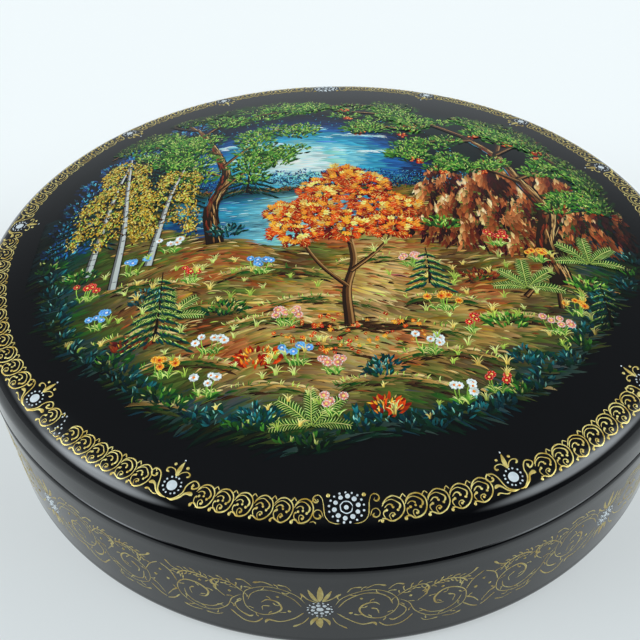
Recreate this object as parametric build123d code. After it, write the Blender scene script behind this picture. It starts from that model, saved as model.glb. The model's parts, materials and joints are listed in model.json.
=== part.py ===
from build123d import *
import os
from math import sqrt

# Round lacquer box of pressed papier-mache, with a convex lid that lifts off.
# Millimetres, +Z up, the middle of the underside at the origin.

os.makedirs("parts", exist_ok=True)

# Outline, from the table up
outer_diameter = 180.0
base_height = 31.0
lid_wall_height = 6.2
lid_shoulder_radius = 5.5
lid_crown_height = 15.8
base_draw_in = 1.5
foot_rounding = 3.0
lid_edge_rounding = 0.6
base_edge_rounding = 1.4

# Thickness of the pressed and wound papier-mache
floor_thickness = 3.8
lid_wall_thickness = 3.5
lid_plate_thickness = 4.0
collar_thickness = 2.4

# Fit of the lid on the collar
collar_clearance = 0.3
collar_headroom = 1.2
collar_lead_in = 0.8

# How far a cutting body runs past the face that it opens
cut_overrun = 2.0

outer_radius = outer_diameter / 2
foot_radius = outer_radius - base_draw_in
lid_bore_radius = outer_radius - lid_wall_thickness
collar_radius = lid_bore_radius - collar_clearance
collar_bore_radius = collar_radius - collar_thickness
lid_rim_top = base_height + lid_wall_height
lid_apex = lid_rim_top + lid_crown_height
collar_top = lid_rim_top - collar_headroom

# The dome is a ball whose surface runs on smoothly into the shoulder's arc.
shoulder_centre_radius = outer_radius - lid_shoulder_radius
dome_radius = (
    shoulder_centre_radius**2 + lid_crown_height**2 - lid_shoulder_radius**2
) / (2 * (lid_crown_height - lid_shoulder_radius))
dome_centre = lid_apex - dome_radius


def dome_point(radius, distance):
    """The point of the dome's section at a distance from the axis."""
    return (distance, dome_centre + sqrt(radius**2 - distance**2))


def turned(section):
    """Turns a section in the XZ plane once round the upright axis."""
    return revolve(section, Axis.Z, 360)


def make_floor():
    """The bottom plate, with its lower edge rounded."""
    plate = Cylinder(
        foot_radius, floor_thickness, align=(Align.CENTER, Align.CENTER, Align.MIN)
    )
    lower_edge = plate.edges().group_by(Axis.Z)[0]
    return fillet(lower_edge, foot_rounding)


def make_base_wall():
    """The wound wall of the base, drawn in towards the foot."""
    with BuildSketch(Plane.XZ) as section:
        with BuildLine():
            Polyline(
                (collar_radius, floor_thickness),
                (foot_radius, floor_thickness),
                (outer_radius, base_height),
                (collar_radius, base_height),
                close=True,
            )
        make_face()
        upper_outer_corner = section.vertices().group_by(Axis.Y)[-1].sort_by(Axis.X)[-1]
        fillet(upper_outer_corner, base_edge_rounding)
    return turned(section.sketch)


def make_collar():
    """The thin ring that stands inside the base and guides the lid."""
    height = collar_top - floor_thickness
    ring = Cylinder(
        collar_radius, height, align=(Align.CENTER, Align.CENTER, Align.MIN)
    ) - Cylinder(
        collar_bore_radius, height, align=(Align.CENTER, Align.CENTER, Align.MIN)
    )
    ring = Pos(0, 0, floor_thickness) * ring
    top_edges = ring.edges().group_by(Axis.Z)[-1]
    return fillet(top_edges, collar_lead_in)


def make_lid_rim():
    """The straight wall of the lid, with its lower outer edge rounded."""
    ring = Cylinder(
        outer_radius, lid_wall_height, align=(Align.CENTER, Align.CENTER, Align.MIN)
    ) - Cylinder(
        lid_bore_radius, lid_wall_height, align=(Align.CENTER, Align.CENTER, Align.MIN)
    )
    ring = Pos(0, 0, base_height) * ring
    lower_outer_edge = ring.edges().group_by(Axis.Z)[0].sort_by(SortBy.RADIUS)[-1]
    return fillet(lower_outer_edge, lid_edge_rounding)


def make_lid_top():
    """The pressed convex plate, from the dome's middle to the shoulder's foot."""
    shoulder_start = (
        shoulder_centre_radius * dome_radius / (dome_radius - lid_shoulder_radius)
    )
    middle_of_dome = dome_point(dome_radius, shoulder_start / 2)
    with BuildSketch(Plane.XZ) as section:
        with BuildLine():
            apex = (0, lid_apex)
            start = dome_point(dome_radius, shoulder_start)
            ThreePointArc(apex, middle_of_dome, start)
            RadiusArc(start, (outer_radius, lid_rim_top), lid_shoulder_radius)
            Polyline((outer_radius, lid_rim_top), (0, lid_rim_top), apex)
        make_face()
    plate = turned(section.sketch)
    hollow = Cylinder(
        lid_bore_radius,
        lid_crown_height + cut_overrun,
        align=(Align.CENTER, Align.CENTER, Align.MIN),
    )
    hollow = Pos(0, 0, lid_rim_top - cut_overrun) * hollow
    inner_ball = Pos(0, 0, dome_centre) * Sphere(dome_radius - lid_plate_thickness)
    return plate - (hollow & inner_ball)


nodes = {
    "base_floor": make_floor(),
    "base_wall": make_base_wall(),
    "inner_collar": make_collar(),
    "lid_rim": make_lid_rim(),
    "lid_top": make_lid_top(),
}

for name, shape in nodes.items():
    export_step(shape, f"parts/{name}.step")
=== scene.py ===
import json
import logging
import math
from dataclasses import dataclass, field
from enum import Enum
from functools import cache, partialmethod

import bpy
import numpy as np
from bpy.types import Mesh, Node, NodeSocket, NodeTree, Object
from mathutils import Matrix, Vector

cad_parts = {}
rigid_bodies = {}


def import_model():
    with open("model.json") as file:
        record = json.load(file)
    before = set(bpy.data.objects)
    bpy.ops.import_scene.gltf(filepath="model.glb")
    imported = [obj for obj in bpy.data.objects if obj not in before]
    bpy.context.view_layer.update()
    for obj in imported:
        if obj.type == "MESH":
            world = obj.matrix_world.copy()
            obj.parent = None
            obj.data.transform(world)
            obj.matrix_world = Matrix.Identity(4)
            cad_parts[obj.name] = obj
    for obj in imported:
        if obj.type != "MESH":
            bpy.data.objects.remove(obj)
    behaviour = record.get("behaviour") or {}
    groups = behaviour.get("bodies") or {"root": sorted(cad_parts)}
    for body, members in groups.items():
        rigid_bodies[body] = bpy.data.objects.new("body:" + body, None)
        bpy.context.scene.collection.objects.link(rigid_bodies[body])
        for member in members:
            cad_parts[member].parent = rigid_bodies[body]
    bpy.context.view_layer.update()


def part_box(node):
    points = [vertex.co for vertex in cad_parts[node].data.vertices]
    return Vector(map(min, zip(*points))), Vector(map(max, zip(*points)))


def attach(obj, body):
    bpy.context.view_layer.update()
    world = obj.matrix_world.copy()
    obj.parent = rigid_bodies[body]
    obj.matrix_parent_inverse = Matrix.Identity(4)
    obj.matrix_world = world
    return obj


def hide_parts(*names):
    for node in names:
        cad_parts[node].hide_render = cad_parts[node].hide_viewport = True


# A round papier-mache lacquer box with a convex lid. Metres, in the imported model's frame.

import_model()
log = logging.getLogger("lacquer_box")

MM = 0.001
FULL_TURN = 2 * math.pi
Array = np.ndarray
Pair = tuple[float, float]
Triple = tuple[float, float, float]
Colour = Dot = Triple
Numbers = float | Array
Line = tuple[Pair, ...]
Sheet = list[tuple[Array, ...]]
Rows = tuple[tuple, ...]


@dataclass(frozen=True)
class LidForm:
    """The outer surface of the lid: a dome that runs smoothly into a rounded shoulder."""

    outer_radius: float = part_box("lid_top")[1].x
    wall_top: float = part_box("lid_top")[0].z
    apex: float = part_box("lid_top")[1].z
    wall_foot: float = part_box("lid_rim")[0].z
    shoulder_radius: float = 5.5 * MM
    plate_thickness: float = 4.0 * MM
    wall_thickness: float = 3.5 * MM
    edge_rounding: float = 0.6 * MM
    seam_gap: float = 0.3 * MM

    @property
    def bore_radius(self) -> float:
        """Radius inside the straight wall."""
        return self.outer_radius - self.wall_thickness

    @property
    def shoulder_centre(self) -> float:
        """Distance from the axis to the shoulder arc's centre."""
        return self.outer_radius - self.shoulder_radius

    @property
    def dome_radius(self) -> float:
        """Radius of the ball that the dome is cut from.

        Returns:
            The radius.
        """
        crown = self.apex - self.wall_top
        rise = self.shoulder_centre**2 + crown**2 - self.shoulder_radius**2
        return rise / (2 * (crown - self.shoulder_radius))

    @property
    def dome_centre(self) -> float:
        """Height of the dome ball's centre."""
        return self.apex - self.dome_radius

    @property
    def shoulder_start(self) -> float:
        """Distance from the axis where the dome turns into the shoulder."""
        return self.shoulder_centre * self.dome_radius / (self.dome_radius - self.shoulder_radius)

    def height(self, distance: Array) -> Array:
        """Height of the outer surface at distances from the axis.

        Args:
            distance: distances from the axis, at most the outer radius.

        Returns:
            The heights above the table.
        """
        distance = np.asarray(distance, float)
        dome = self.dome_centre + np.sqrt(np.maximum(self.dome_radius**2 - distance**2, 0.0))
        past = np.clip(distance - self.shoulder_centre, 0.0, self.shoulder_radius)
        shoulder = self.wall_top + np.sqrt(self.shoulder_radius**2 - past**2)
        return np.where(distance <= self.shoulder_start, dome, shoulder)

    def normals(self, x: Array, y: Array) -> Array:
        """Outward unit normals of the surface above points of the table.

        Args:
            x: first coordinates.
            y: second coordinates.

        Returns:
            One normal per point, in rows.
        """
        distance = np.hypot(x, y)
        on_dome = distance <= self.shoulder_start
        ball = np.where(on_dome, self.dome_radius, self.shoulder_radius)
        along = np.where(on_dome, distance, np.maximum(distance - self.shoulder_centre, 0.0)) / ball
        safe = np.maximum(distance, 1e-9)
        return np.stack([along * x / safe, along * y / safe, np.sqrt(1 - np.minimum(along, 1.0) ** 2)], 1)


@dataclass(frozen=True)
class BaseForm:
    """The base: floor plate, drawn-in wall and inner collar."""

    foot_radius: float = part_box("base_floor")[1].x
    floor_top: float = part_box("base_floor")[1].z
    seam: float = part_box("base_wall")[1].z
    collar_radius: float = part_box("inner_collar")[1].x
    collar_top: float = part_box("inner_collar")[1].z
    seam_radius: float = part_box("lid_rim")[1].x
    foot_rounding: float = 3.0 * MM
    edge_rounding: float = 1.4 * MM
    collar_thickness: float = 2.4 * MM
    collar_lead_in: float = 0.8 * MM

    @property
    def flare(self) -> float:
        """How far the wall leans out per length of height."""
        return (self.seam_radius - self.foot_radius) / (self.seam - self.floor_top)

    def wall_radius(self, height: float) -> float:
        """Outer radius of the drawn-in wall at a height above the table."""
        share = (height - self.floor_top) / (self.seam - self.floor_top)
        return self.foot_radius + (self.seam_radius - self.foot_radius) * min(max(share, 0.0), 1.0)


def arc(centre: Pair, radius: float, start: float, end: float, steps: int) -> list[tuple]:
    """Points of an arc in a turned section, from one angle to another, in degrees from outward."""
    angles = [math.radians(start + (end - start) * k / steps) for k in range(steps + 1)]
    return [(centre[0] + radius * math.cos(a), centre[1] + radius * math.sin(a)) for a in angles]


def link_piece(name: str, data: bpy.types.ID) -> Object:
    """Puts a new object into the scene.

    Args:
        name: name of the object.
        data: its mesh or its lens.

    Returns:
        The object.
    """
    piece = bpy.data.objects.new(name, data)
    bpy.context.scene.collection.objects.link(piece)
    return piece


def mesh_object(name: str, places: Array, faces: list[tuple[int, ...]]) -> Object:
    """Makes a mesh and puts it into the scene.

    Args:
        name: name of the object.
        places: its vertices, one a row, in metres.
        faces: the vertex numbers of each face.

    Returns:
        The object.
    """
    mesh = bpy.data.meshes.new(name)
    mesh.from_pydata([tuple(p) for p in places], [], faces)
    mesh.update()
    return link_piece(name, mesh)


@dataclass
class TurnedPiece:
    """A solid turned round the upright axis from a closed section."""

    name: str
    section: list[Pair]
    inside_from: int
    inside_to: int
    segments: int = 384
    crease_angle: float = 40.0
    axis_width: float = 1e-7

    def build(self) -> Object:
        """Turns the section, which runs from the outside top, down, and back inside.

        Returns:
            The piece, with material index 1 on the stretches of its inside.
        """
        places, rings = [], []
        turns = [FULL_TURN * k / self.segments for k in range(self.segments)]
        for distance, height in self.section:
            spokes = turns if distance >= self.axis_width else [0.0]
            rings.append(range(len(places), len(places) + len(spokes)))
            if len(spokes) == 1:
                distance = 0.0
            places += [(distance * math.cos(turn), distance * math.sin(turn), height) for turn in spokes]
        faces, inside = [], []
        count = len(rings)
        closed = len(rings[0]) > 1 or len(rings[-1]) > 1
        for i in range(count if closed else count - 1):
            upper, lower = rings[i], rings[(i + 1) % count]
            for k in range(self.segments):
                after = (k + 1) % self.segments
                if len(upper) == 1:
                    faces.append((upper[0], lower[k], lower[after]))
                elif len(lower) == 1:
                    faces.append((upper[k], lower[0], upper[after]))
                else:
                    faces.append((upper[k], lower[k], lower[after], upper[after]))
                inside.append(int(self.inside_from <= i < self.inside_to))
        piece = mesh_object(self.name, np.array(places), faces)
        piece.data.polygons.foreach_set("material_index", inside)
        piece.data.shade_smooth()
        piece.data.set_sharp_from_angle(angle=math.radians(self.crease_angle))
        return piece


class Quantity:
    """A number in a node tree. Sums with it add math nodes to the tree."""

    def __init__(self, socket: NodeSocket) -> None:
        """Keeps the socket that gives the number."""
        self.socket = socket

    def through(self, operation: str, *others: object) -> "Quantity":
        """The result of a math node on this number and others, plain or in the tree.

        Args:
            operation: the math node's operation.
            others: its further operands.

        Returns:
            The new number.
        """
        step = add_node(self.socket.id_data, "ShaderNodeMath", operation=operation)
        for slot, value in zip(step.inputs, (self, *others)):
            feed(slot, value)
        return Quantity(step.outputs[0])

    __add__ = partialmethod(through, "ADD")
    __sub__ = partialmethod(through, "SUBTRACT")
    __mul__ = partialmethod(through, "MULTIPLY")
    __truediv__ = partialmethod(through, "DIVIDE")
    __pow__ = partialmethod(through, "POWER")


def feed(slot: NodeSocket, value: object) -> None:
    """Sets an input, or links it where the value is a socket or a quantity.

    Args:
        slot: the input.
        value: a plain value, a socket or a quantity.
    """
    if isinstance(value, Quantity):
        value = value.socket
    if isinstance(value, NodeSocket):
        slot.id_data.links.new(value, slot)
    else:
        slot.default_value = value


def add_node(tree: NodeTree, kind: str, **values: object) -> Node:
    """Adds a node to a tree.

    Args:
        tree: shader or geometry tree.
        kind: the node's type name.
        values: its properties, or else its inputs, with underscores for spaces.

    Returns:
        The node.
    """
    node = tree.nodes.new(kind)
    for key, value in values.items():
        if hasattr(node, key):
            setattr(node, key, value)
        else:
            feed(node.inputs[key.replace("_", " ")], value)
    return node


def mixed(tree: NodeTree, share: object, first: object, second: object) -> NodeSocket:
    """A colour that runs from a first to a second one with a share.

    Args:
        tree: the node tree.
        share: the second colour's share.
        first: the first colour.
        second: the second colour.

    Returns:
        The socket that gives the colour.
    """
    mix = add_node(tree, "ShaderNodeMix", data_type="RGBA")
    for slot, value in ((0, share), (6, first), (7, second)):
        feed(mix.inputs[slot], (*value, 1.0) if isinstance(value, tuple) else value)
    return mix.outputs[2]


def new_group(name: str, kind: str, inputs: dict[str, object], outputs: dict[str, str]) -> tuple:
    """Starts a node group.

    Args:
        name: the group's name.
        kind: the tree's type name.
        inputs: for each input its default number, or its socket's type name.
        outputs: for each output its socket's type name.

    Returns:
        The group, its input node and its output node.
    """
    group = bpy.data.node_groups.new(name, kind)
    for label, value in inputs.items():
        typed = isinstance(value, str)
        kind_of_socket = value if typed else "NodeSocketFloat"
        socket = group.interface.new_socket(label, in_out="INPUT", socket_type=kind_of_socket)
        if not typed:
            socket.default_value = value
    for label, value in outputs.items():
        group.interface.new_socket(label, in_out="OUTPUT", socket_type=value)
    return group, add_node(group, "NodeGroupInput"), add_node(group, "NodeGroupOutput")


@cache
def lacquer_skin() -> NodeTree:
    """Shader group for a hand-polished lacquer skin: gentle waves, haze and fine dust.

    Returns:
        The group, with Roughness, Normal and Mask outputs.
    """
    inputs = {"Vector": "NodeSocketVector", "Wave Scale": 90.0, "Wave Height": 0.1, "Polish": 0.05,
              "Haze": 0.04}
    outputs = {"Roughness": "NodeSocketFloat", "Normal": "NodeSocketVector", "Mask": "NodeSocketFloat"}
    group, inside, outside = new_group("lacquer_skin", "ShaderNodeTree", inputs, outputs)
    of = inside.outputs
    wave = add_node(group, "ShaderNodeTexNoise", Vector=of["Vector"], Scale=of["Wave Scale"], Detail=1.5,
                    Roughness=0.4)
    bump = add_node(group, "ShaderNodeBump", Distance=0.0004, Height=wave.outputs[0],
                    Strength=of["Wave Height"])
    haze = add_node(group, "ShaderNodeTexNoise", Vector=of["Vector"], Scale=45.0, Detail=4.0, Roughness=0.6)
    roughness = Quantity(haze.outputs[0]).through("MULTIPLY_ADD", of["Haze"], of["Polish"])
    feed(outside.inputs["Roughness"], roughness)
    feed(outside.inputs["Normal"], bump.outputs[0])
    feed(outside.inputs["Mask"], haze.outputs[0])
    return group


class Finish:
    """Base of the finishes: a named material with a Principled shader, and the record's slot for it."""

    slot: str = ""

    def __init__(self, name: str) -> None:
        """Makes the material and finds its shader.

        Args:
            name: name of the material.
        """
        self.material = bpy.data.materials.new(name)
        self.material.use_nodes = True
        self.tree = self.material.node_tree
        self.shader = self.tree.nodes["Principled BSDF"]

    def node(self, kind: str, **values: object) -> Node:
        """Adds a node, as add_node does."""
        return add_node(self.tree, kind, **values)

    def place(self) -> NodeSocket:
        """The piece's own coordinates."""
        return self.node("ShaderNodeTexCoord").outputs["Object"]

    def set(self, **values: object) -> None:
        """Sets or links the shader's own sockets, named with underscores for spaces."""
        for key, value in values.items():
            feed(self.shader.inputs[key.replace("_", " ")], value)


class Lacquer(Finish):
    """A coat of lacquer with the hand-polished skin."""

    def coat(self, dark: Colour, light: Colour, **skin: float) -> None:
        """Lays the coat.

        Args:
            dark: its deepest colour.
            light: its colour where the haze is densest.
            skin: values for the skin group's inputs.
        """
        skin = self.node("ShaderNodeGroup", node_tree=lacquer_skin(), Vector=self.place(), **skin).outputs
        colour = mixed(self.tree, skin["Mask"], dark, light)
        self.set(Base_Color=colour, Roughness=skin["Roughness"], Normal=skin["Normal"])


class BlackLacquer(Lacquer):
    """Many thin coats of black lacquer, ground and polished to a mirror."""

    slot = "black_lacquer"

    def __init__(self) -> None:
        """Builds the finish."""
        super().__init__("black_lacquer")
        self.set(IOR=1.46, Coat_Weight=0.0)
        self.coat((0.0016, 0.0017, 0.0023), (0.0034, 0.0036, 0.0047), Wave_Height=0.05)


class RedLacquer(Lacquer):
    """Cinnabar red lacquer, brushed on inside the box."""

    slot = "red_lacquer"

    def __init__(self) -> None:
        """Builds the finish."""
        super().__init__("red_lacquer")
        self.set(IOR=1.5, Coat_Weight=0.4, Coat_Roughness=0.08)
        self.coat((0.36, 0.016, 0.010), (0.52, 0.035, 0.018), Polish=0.16, Haze=0.12, Wave_Scale=140.0,
                  Wave_Height=0.3)


class GoldPaint(Finish):
    """Powdered gold in gum, drawn with a fine brush: part metal, part matt."""

    slot = "gold_paint"
    thin: Colour = (0.62, 0.40, 0.06)
    full: Colour = (1.0, 0.86, 0.32)

    def __init__(self, name: str = "gold_paint", depth: float = 1.0) -> None:
        """Builds the finish.

        Args:
            name: name of the material.
            depth: brightness of the gold, below 1 for a darker copy.
        """
        super().__init__(name)
        place = self.place()
        patch = self.node("ShaderNodeTexNoise", Vector=place, Scale=520.0, Detail=3.0,
                          Roughness=0.6).outputs[0]
        spread = self.node("ShaderNodeMapRange", Value=patch, From_Min=0.34, From_Max=0.66)
        grain = self.node("ShaderNodeTexNoise", Vector=place, Scale=4200.0, Detail=2.0)
        bump = self.node("ShaderNodeBump", Strength=0.35, Distance=0.00004, Height=grain.outputs[0])
        gloss = self.node("ShaderNodeMapRange", Value=patch, To_Min=0.32, To_Max=0.5)
        thin, full = (tuple(part * depth for part in gold) for gold in (self.thin, self.full))
        self.set(Metallic=0.45, IOR=1.5, Base_Color=mixed(self.tree, spread.outputs[0], thin, full),
                 Normal=bump.outputs[0], Roughness=gloss.outputs[0])


class WhitePaint(Finish):
    """Thick white tempera, slightly blue where it is thin."""

    slot = "white_paint"

    def __init__(self) -> None:
        """Builds the finish."""
        super().__init__("white_paint")
        patch = self.node("ShaderNodeTexNoise", Vector=self.place(), Scale=900.0, Detail=3.0).outputs[0]
        bump = self.node("ShaderNodeBump", Strength=0.4, Distance=0.00005, Height=patch)
        colour = mixed(self.tree, patch, (0.50, 0.57, 0.61), (0.84, 0.88, 0.89))
        self.set(Roughness=0.35, IOR=1.5, Base_Color=colour, Normal=bump.outputs[0])


class LacqueredTempera(Finish):
    """Egg tempera in many colours, sealed under clear lacquer."""

    slot = "miniature_paint"

    def __init__(self) -> None:
        """Builds the finish, which takes its colours from the attribute paint."""
        super().__init__("miniature_paint")
        colour = self.node("ShaderNodeAttribute", attribute_name="paint").outputs["Color"]
        self.set(Base_Color=colour, Roughness=0.5, Specular_IOR_Level=0.0, Coat_Weight=1.0,
                 Coat_Roughness=0.06, Coat_IOR=1.46)


@dataclass
class Assembly:
    """Glued pieces of black lacquer with a red inside, which ride on one body."""

    form: object
    black: BlackLacquer
    red: RedLacquer

    def dress(self, piece: Object, body: str, node: str, slot: str = "black_lacquer") -> Object:
        """Gives a piece its finishes, its body and the CAD node that it replaces.

        Args:
            piece: the turned piece.
            body: the body that it rides on.
            node: the CAD node that it replaces.
            slot: the record's slot for its finish; not used.

        Returns:
            The piece.
        """
        piece.data.materials.append(self.black.material)
        piece.data.materials.append(self.red.material)
        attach(piece, body)
        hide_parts(node)
        return piece


@dataclass
class Lid(Assembly):
    """The lid's two glued pieces."""

    dome_steps: int = 44
    shoulder_steps: int = 20
    edge_steps: int = 8

    def build_top(self) -> Object:
        """The convex plate with its rounded shoulder.

        Returns:
            The piece.
        """
        form, steps = self.form, self.dome_steps
        distances = [form.shoulder_start * k / steps for k in range(steps + 1)]
        section = [(distance, float(form.height(distance))) for distance in distances]
        tilt = math.degrees(math.asin(form.shoulder_centre / (form.dome_radius - form.shoulder_radius)))
        centre = (form.shoulder_centre, form.wall_top)
        section += arc(centre, form.shoulder_radius, 90 - tilt, 0, self.shoulder_steps)[1:]
        inside_from = len(section)
        inner_ball = form.dome_radius - form.plate_thickness
        section.append((form.bore_radius, form.wall_top))
        for k in range(steps + 1):
            distance = form.bore_radius * (1 - k / steps)
            section.append((distance, form.dome_centre + math.sqrt(inner_ball**2 - distance**2)))
        piece = TurnedPiece("lid_top_plate", section, inside_from, len(section)).build()
        return self.dress(piece, "lid", "lid_top")

    def build_rim(self) -> Object:
        """The straight wall of the lid.

        Returns:
            The piece.
        """
        form = self.form
        rounding, foot = form.edge_rounding, form.wall_foot + form.seam_gap
        section = [(form.outer_radius, form.wall_top)]
        section += arc((form.outer_radius - rounding, foot + rounding), rounding, 0, -90, self.edge_steps)
        inside_from = len(section)
        section += [(form.bore_radius, foot), (form.bore_radius, form.wall_top)]
        piece = TurnedPiece("lid_rim_ring", section, inside_from, len(section) - 1).build()
        return self.dress(piece, "lid", "lid_rim")


@dataclass
class Base(Assembly):
    """The base's three glued pieces."""

    edge_steps: int = 14
    wall_steps: int = 12
    foot_steps: int = 10
    lead_steps: int = 6

    def build_wall(self) -> Object:
        """The outside wall, drawn in towards the foot.

        Returns:
            The piece.
        """
        form, rounding, steps = self.form, self.form.edge_rounding, self.wall_steps
        section = [(form.collar_radius, form.seam)]
        section += arc((form.seam_radius - rounding, form.seam - rounding), rounding, 90, 0, self.edge_steps)
        top = form.seam - rounding
        heights = [top + (form.floor_top - top) * k / steps for k in range(1, steps + 1)]
        section += [(form.wall_radius(height), height) for height in heights]
        section.append((form.collar_radius, form.floor_top))
        piece = TurnedPiece("base_wall_ring", section, len(section) - 1, len(section)).build()
        return self.dress(piece, "base", "base_wall")

    def build_floor(self) -> Object:
        """The bottom plate with its rounded foot.

        Returns:
            The piece.
        """
        form, rounding = self.form, self.form.foot_rounding
        inside = form.collar_radius - form.collar_thickness
        section = [(distance, form.floor_top) for distance in (0.0, inside / 2, inside, form.foot_radius)]
        section += arc((form.foot_radius - rounding, rounding), rounding, 0, -90, self.foot_steps)
        section += [((form.foot_radius - rounding) / 2, 0.0), (0.0, 0.0)]
        piece = TurnedPiece("base_floor_plate", section, 0, 2).build()
        return self.dress(piece, "base", "base_floor")

    def build_collar(self) -> Object:
        """The thin ring that the lid slips over.

        Returns:
            The piece.
        """
        form, lead = self.form, self.form.collar_lead_in
        bore = form.collar_radius - form.collar_thickness
        section = arc((form.collar_radius - lead, form.collar_top - lead), lead, 90, 0, self.lead_steps)
        section += [(form.collar_radius, form.floor_top), (bore, form.floor_top)]
        inside_from = len(section) - 1
        section += arc((bore + lead, form.collar_top - lead), lead, 180, 90, self.lead_steps)
        piece = TurnedPiece("inner_collar_ring", section, inside_from, len(section)).build()
        return self.dress(piece, "base", "inner_collar", "red_lacquer")


class Touch(Enum):
    """How a brush stroke swells along its length."""

    LINE = "line"
    COMMA = "comma"
    HOOK = "hook"
    LEAF = "leaf"
    TRUNK = "trunk"
    ROUND = "round"

    def widths(self, share: Array) -> Array:
        """Width along the stroke, as a share of its full width.

        Args:
            share: places along the stroke, from 0 at its start to 1 at its end.

        Returns:
            One width per place.
        """
        rounded = np.minimum(1.0, np.sqrt(np.clip(np.minimum(share, 1 - share) / 0.07, 0.0, 1.0)))
        if self is Touch.LINE:
            return rounded
        if self is Touch.LEAF:
            return np.sin(np.pi * np.clip(share, 0.0, 1.0) ** 0.85) ** 0.8
        if self is Touch.TRUNK:
            return 1.0 - 0.75 * share
        if self is Touch.ROUND:
            return np.sqrt(np.clip(4 * share * (1 - share), 0.06, 1.0))
        along = share if self is Touch.COMMA else 1 - share
        swell = 0.42 + 0.58 * np.clip((along - 0.55) / 0.33, 0.0, 1.0) ** 1.5
        tip = np.sqrt(np.clip((1 - along) / 0.12, 0.0, 1.0))
        return swell * tip * np.clip(along / 0.06, 0.15, 1.0)


def smooth_path(points: Array, count: int) -> Array:
    """Runs a smooth line through points and spaces places evenly along it.

    Args:
        points: the points that the line passes, in rows.
        count: how many places to return.

    Returns:
        The places, in rows.
    """
    points = np.asarray(points, float)
    ends = np.vstack([2 * points[0] - points[1], points, 2 * points[-1] - points[-2]])
    fine = np.linspace(0, 1, 9)[:-1, None]
    pieces = []
    for k in range(len(points) - 1):
        a, b, c, d = ends[k : k + 4]
        bend, twist = 2 * a - 5 * b + 4 * c - d, 3 * b - a - 3 * c + d
        pieces.append(0.5 * (2 * b + (c - a) * fine + bend * fine**2 + twist * fine**3))
    line = np.vstack(pieces + [points[-1:]])
    run = np.concatenate([[0.0], np.cumsum(np.hypot(*np.diff(line, axis=0).T))])
    places = np.linspace(0, run[-1], count)
    return np.stack([np.interp(places, run, line[:, 0]), np.interp(places, run, line[:, 1])], 1)


def headings(lines: Array) -> Array:
    """Unit directions along lines, whose points follow each other on the last axis but one."""
    ahead = np.gradient(lines, axis=-2)
    return ahead / np.maximum(np.hypot(ahead[..., 0], ahead[..., 1]), 1e-9)[..., None]


def left_of(ahead: Array) -> Array:
    """The directions a quarter turn to the left of others."""
    return np.stack([-ahead[..., 1], ahead[..., 0]], -1)


@dataclass(frozen=True)
class Stroke:
    """One touch of the brush, in millimetres on flat paper."""

    points: tuple[Pair, ...]
    width: float = 0.30
    touch: Touch = Touch.LINE
    spacing: float = 0.30

    def count(self) -> int:
        """How many rows of vertices the stroke takes."""
        length = float(np.hypot(*np.diff(np.array(self.points), axis=0).T).sum())
        return max(5, int(length / self.spacing) + 1)


@dataclass(frozen=True)
class Relief:
    """How proud the paint stands, in millimetres."""

    crown: float = 0.045
    full_width: float = 0.3
    sunk_edge: float = 0.012
    dot_crown: float = 0.11
    dot_slope: float = 0.22


@dataclass
class Motif:
    """A small ornament of strokes and dots, drawn flat: x runs along the ring, y inwards."""

    strokes: list[Stroke] = field(default_factory=list)
    dots: list[Dot] = field(default_factory=list)
    relief: Relief = Relief()
    dot_sides: int = 12
    big_dot: float = 0.9
    width_sway: Pair = (0.85, 1.18)
    dot_sway: Pair = (0.9, 1.1)

    def varied(self, draw: np.random.Generator, sway: float) -> "Motif":
        """The same motif as a hand would paint it again.

        Args:
            draw: source of chance.
            sway: how far points may stray, in millimetres.

        Returns:
            A new motif.
        """
        strokes = []
        for stroke in self.strokes:
            points = np.array(stroke.points) + draw.normal(0.0, sway, (len(stroke.points), 2))
            width = stroke.width * draw.uniform(*self.width_sway)
            strokes.append(Stroke(tuple(map(tuple, points)), width, stroke.touch, stroke.spacing))
        dots = [(x + draw.normal(0, sway), y + draw.normal(0, sway), size * draw.uniform(*self.dot_sway))
                for x, y, size in self.dots]
        return Motif(strokes, dots, self.relief, self.dot_sides)

    def mesh(self, name: str) -> Mesh:
        """Makes the motif's mesh, in metres.

        Args:
            name: name of the mesh.

        Returns:
            The mesh, with a raised middle on each stroke and dot.
        """
        places, faces = [], []
        relief = self.relief
        sunk = -relief.sunk_edge
        for stroke in self.strokes:
            count = stroke.count()
            line = smooth_path(np.array(stroke.points), count)
            side = left_of(headings(line))
            wide = stroke.width * stroke.touch.widths(np.linspace(0, 1, count)) / 2
            first = len(places)
            for k in range(count):
                crown = relief.crown * min(1.0, 2 * wide[k] / relief.full_width)
                left, right = line[k] + side[k] * wide[k], line[k] - side[k] * wide[k]
                places += [(*left, sunk), (*line[k], crown), (*right, sunk)]
            for a in range(first, first + 3 * (count - 1), 3):
                faces += [(a + 1, a, a + 3, a + 4), (a + 2, a + 1, a + 4, a + 5)]
        for x, y, diameter in self.dots:
            first = len(places)
            sides = self.dot_sides if diameter < self.big_dot else 2 * self.dot_sides
            crown = min(relief.dot_crown, relief.dot_slope * diameter)
            rings = ((1.0, sunk), (0.82, 0.6 * crown), (0.45, 0.93 * crown))
            turns = [FULL_TURN * k / sides for k in range(sides)]
            for share, height in rings:
                reach = share * diameter / 2
                places += [(x + reach * math.cos(turn), y + reach * math.sin(turn), height) for turn in turns]
            places.append((x, y, crown))
            for ring in range(len(rings) - 1):
                for k in range(sides):
                    a, b = first + ring * sides + k, first + ring * sides + (k + 1) % sides
                    faces.append((a, b, b + sides, a + sides))
            top = first + (len(rings) - 1) * sides
            for k in range(sides):
                faces.append((top + k, top + (k + 1) % sides, first + len(rings) * sides))
        mesh = bpy.data.meshes.new(name)
        mesh.from_pydata([tuple(v * MM for v in p) for p in places], [], faces)
        mesh.shade_smooth()
        return mesh


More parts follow.
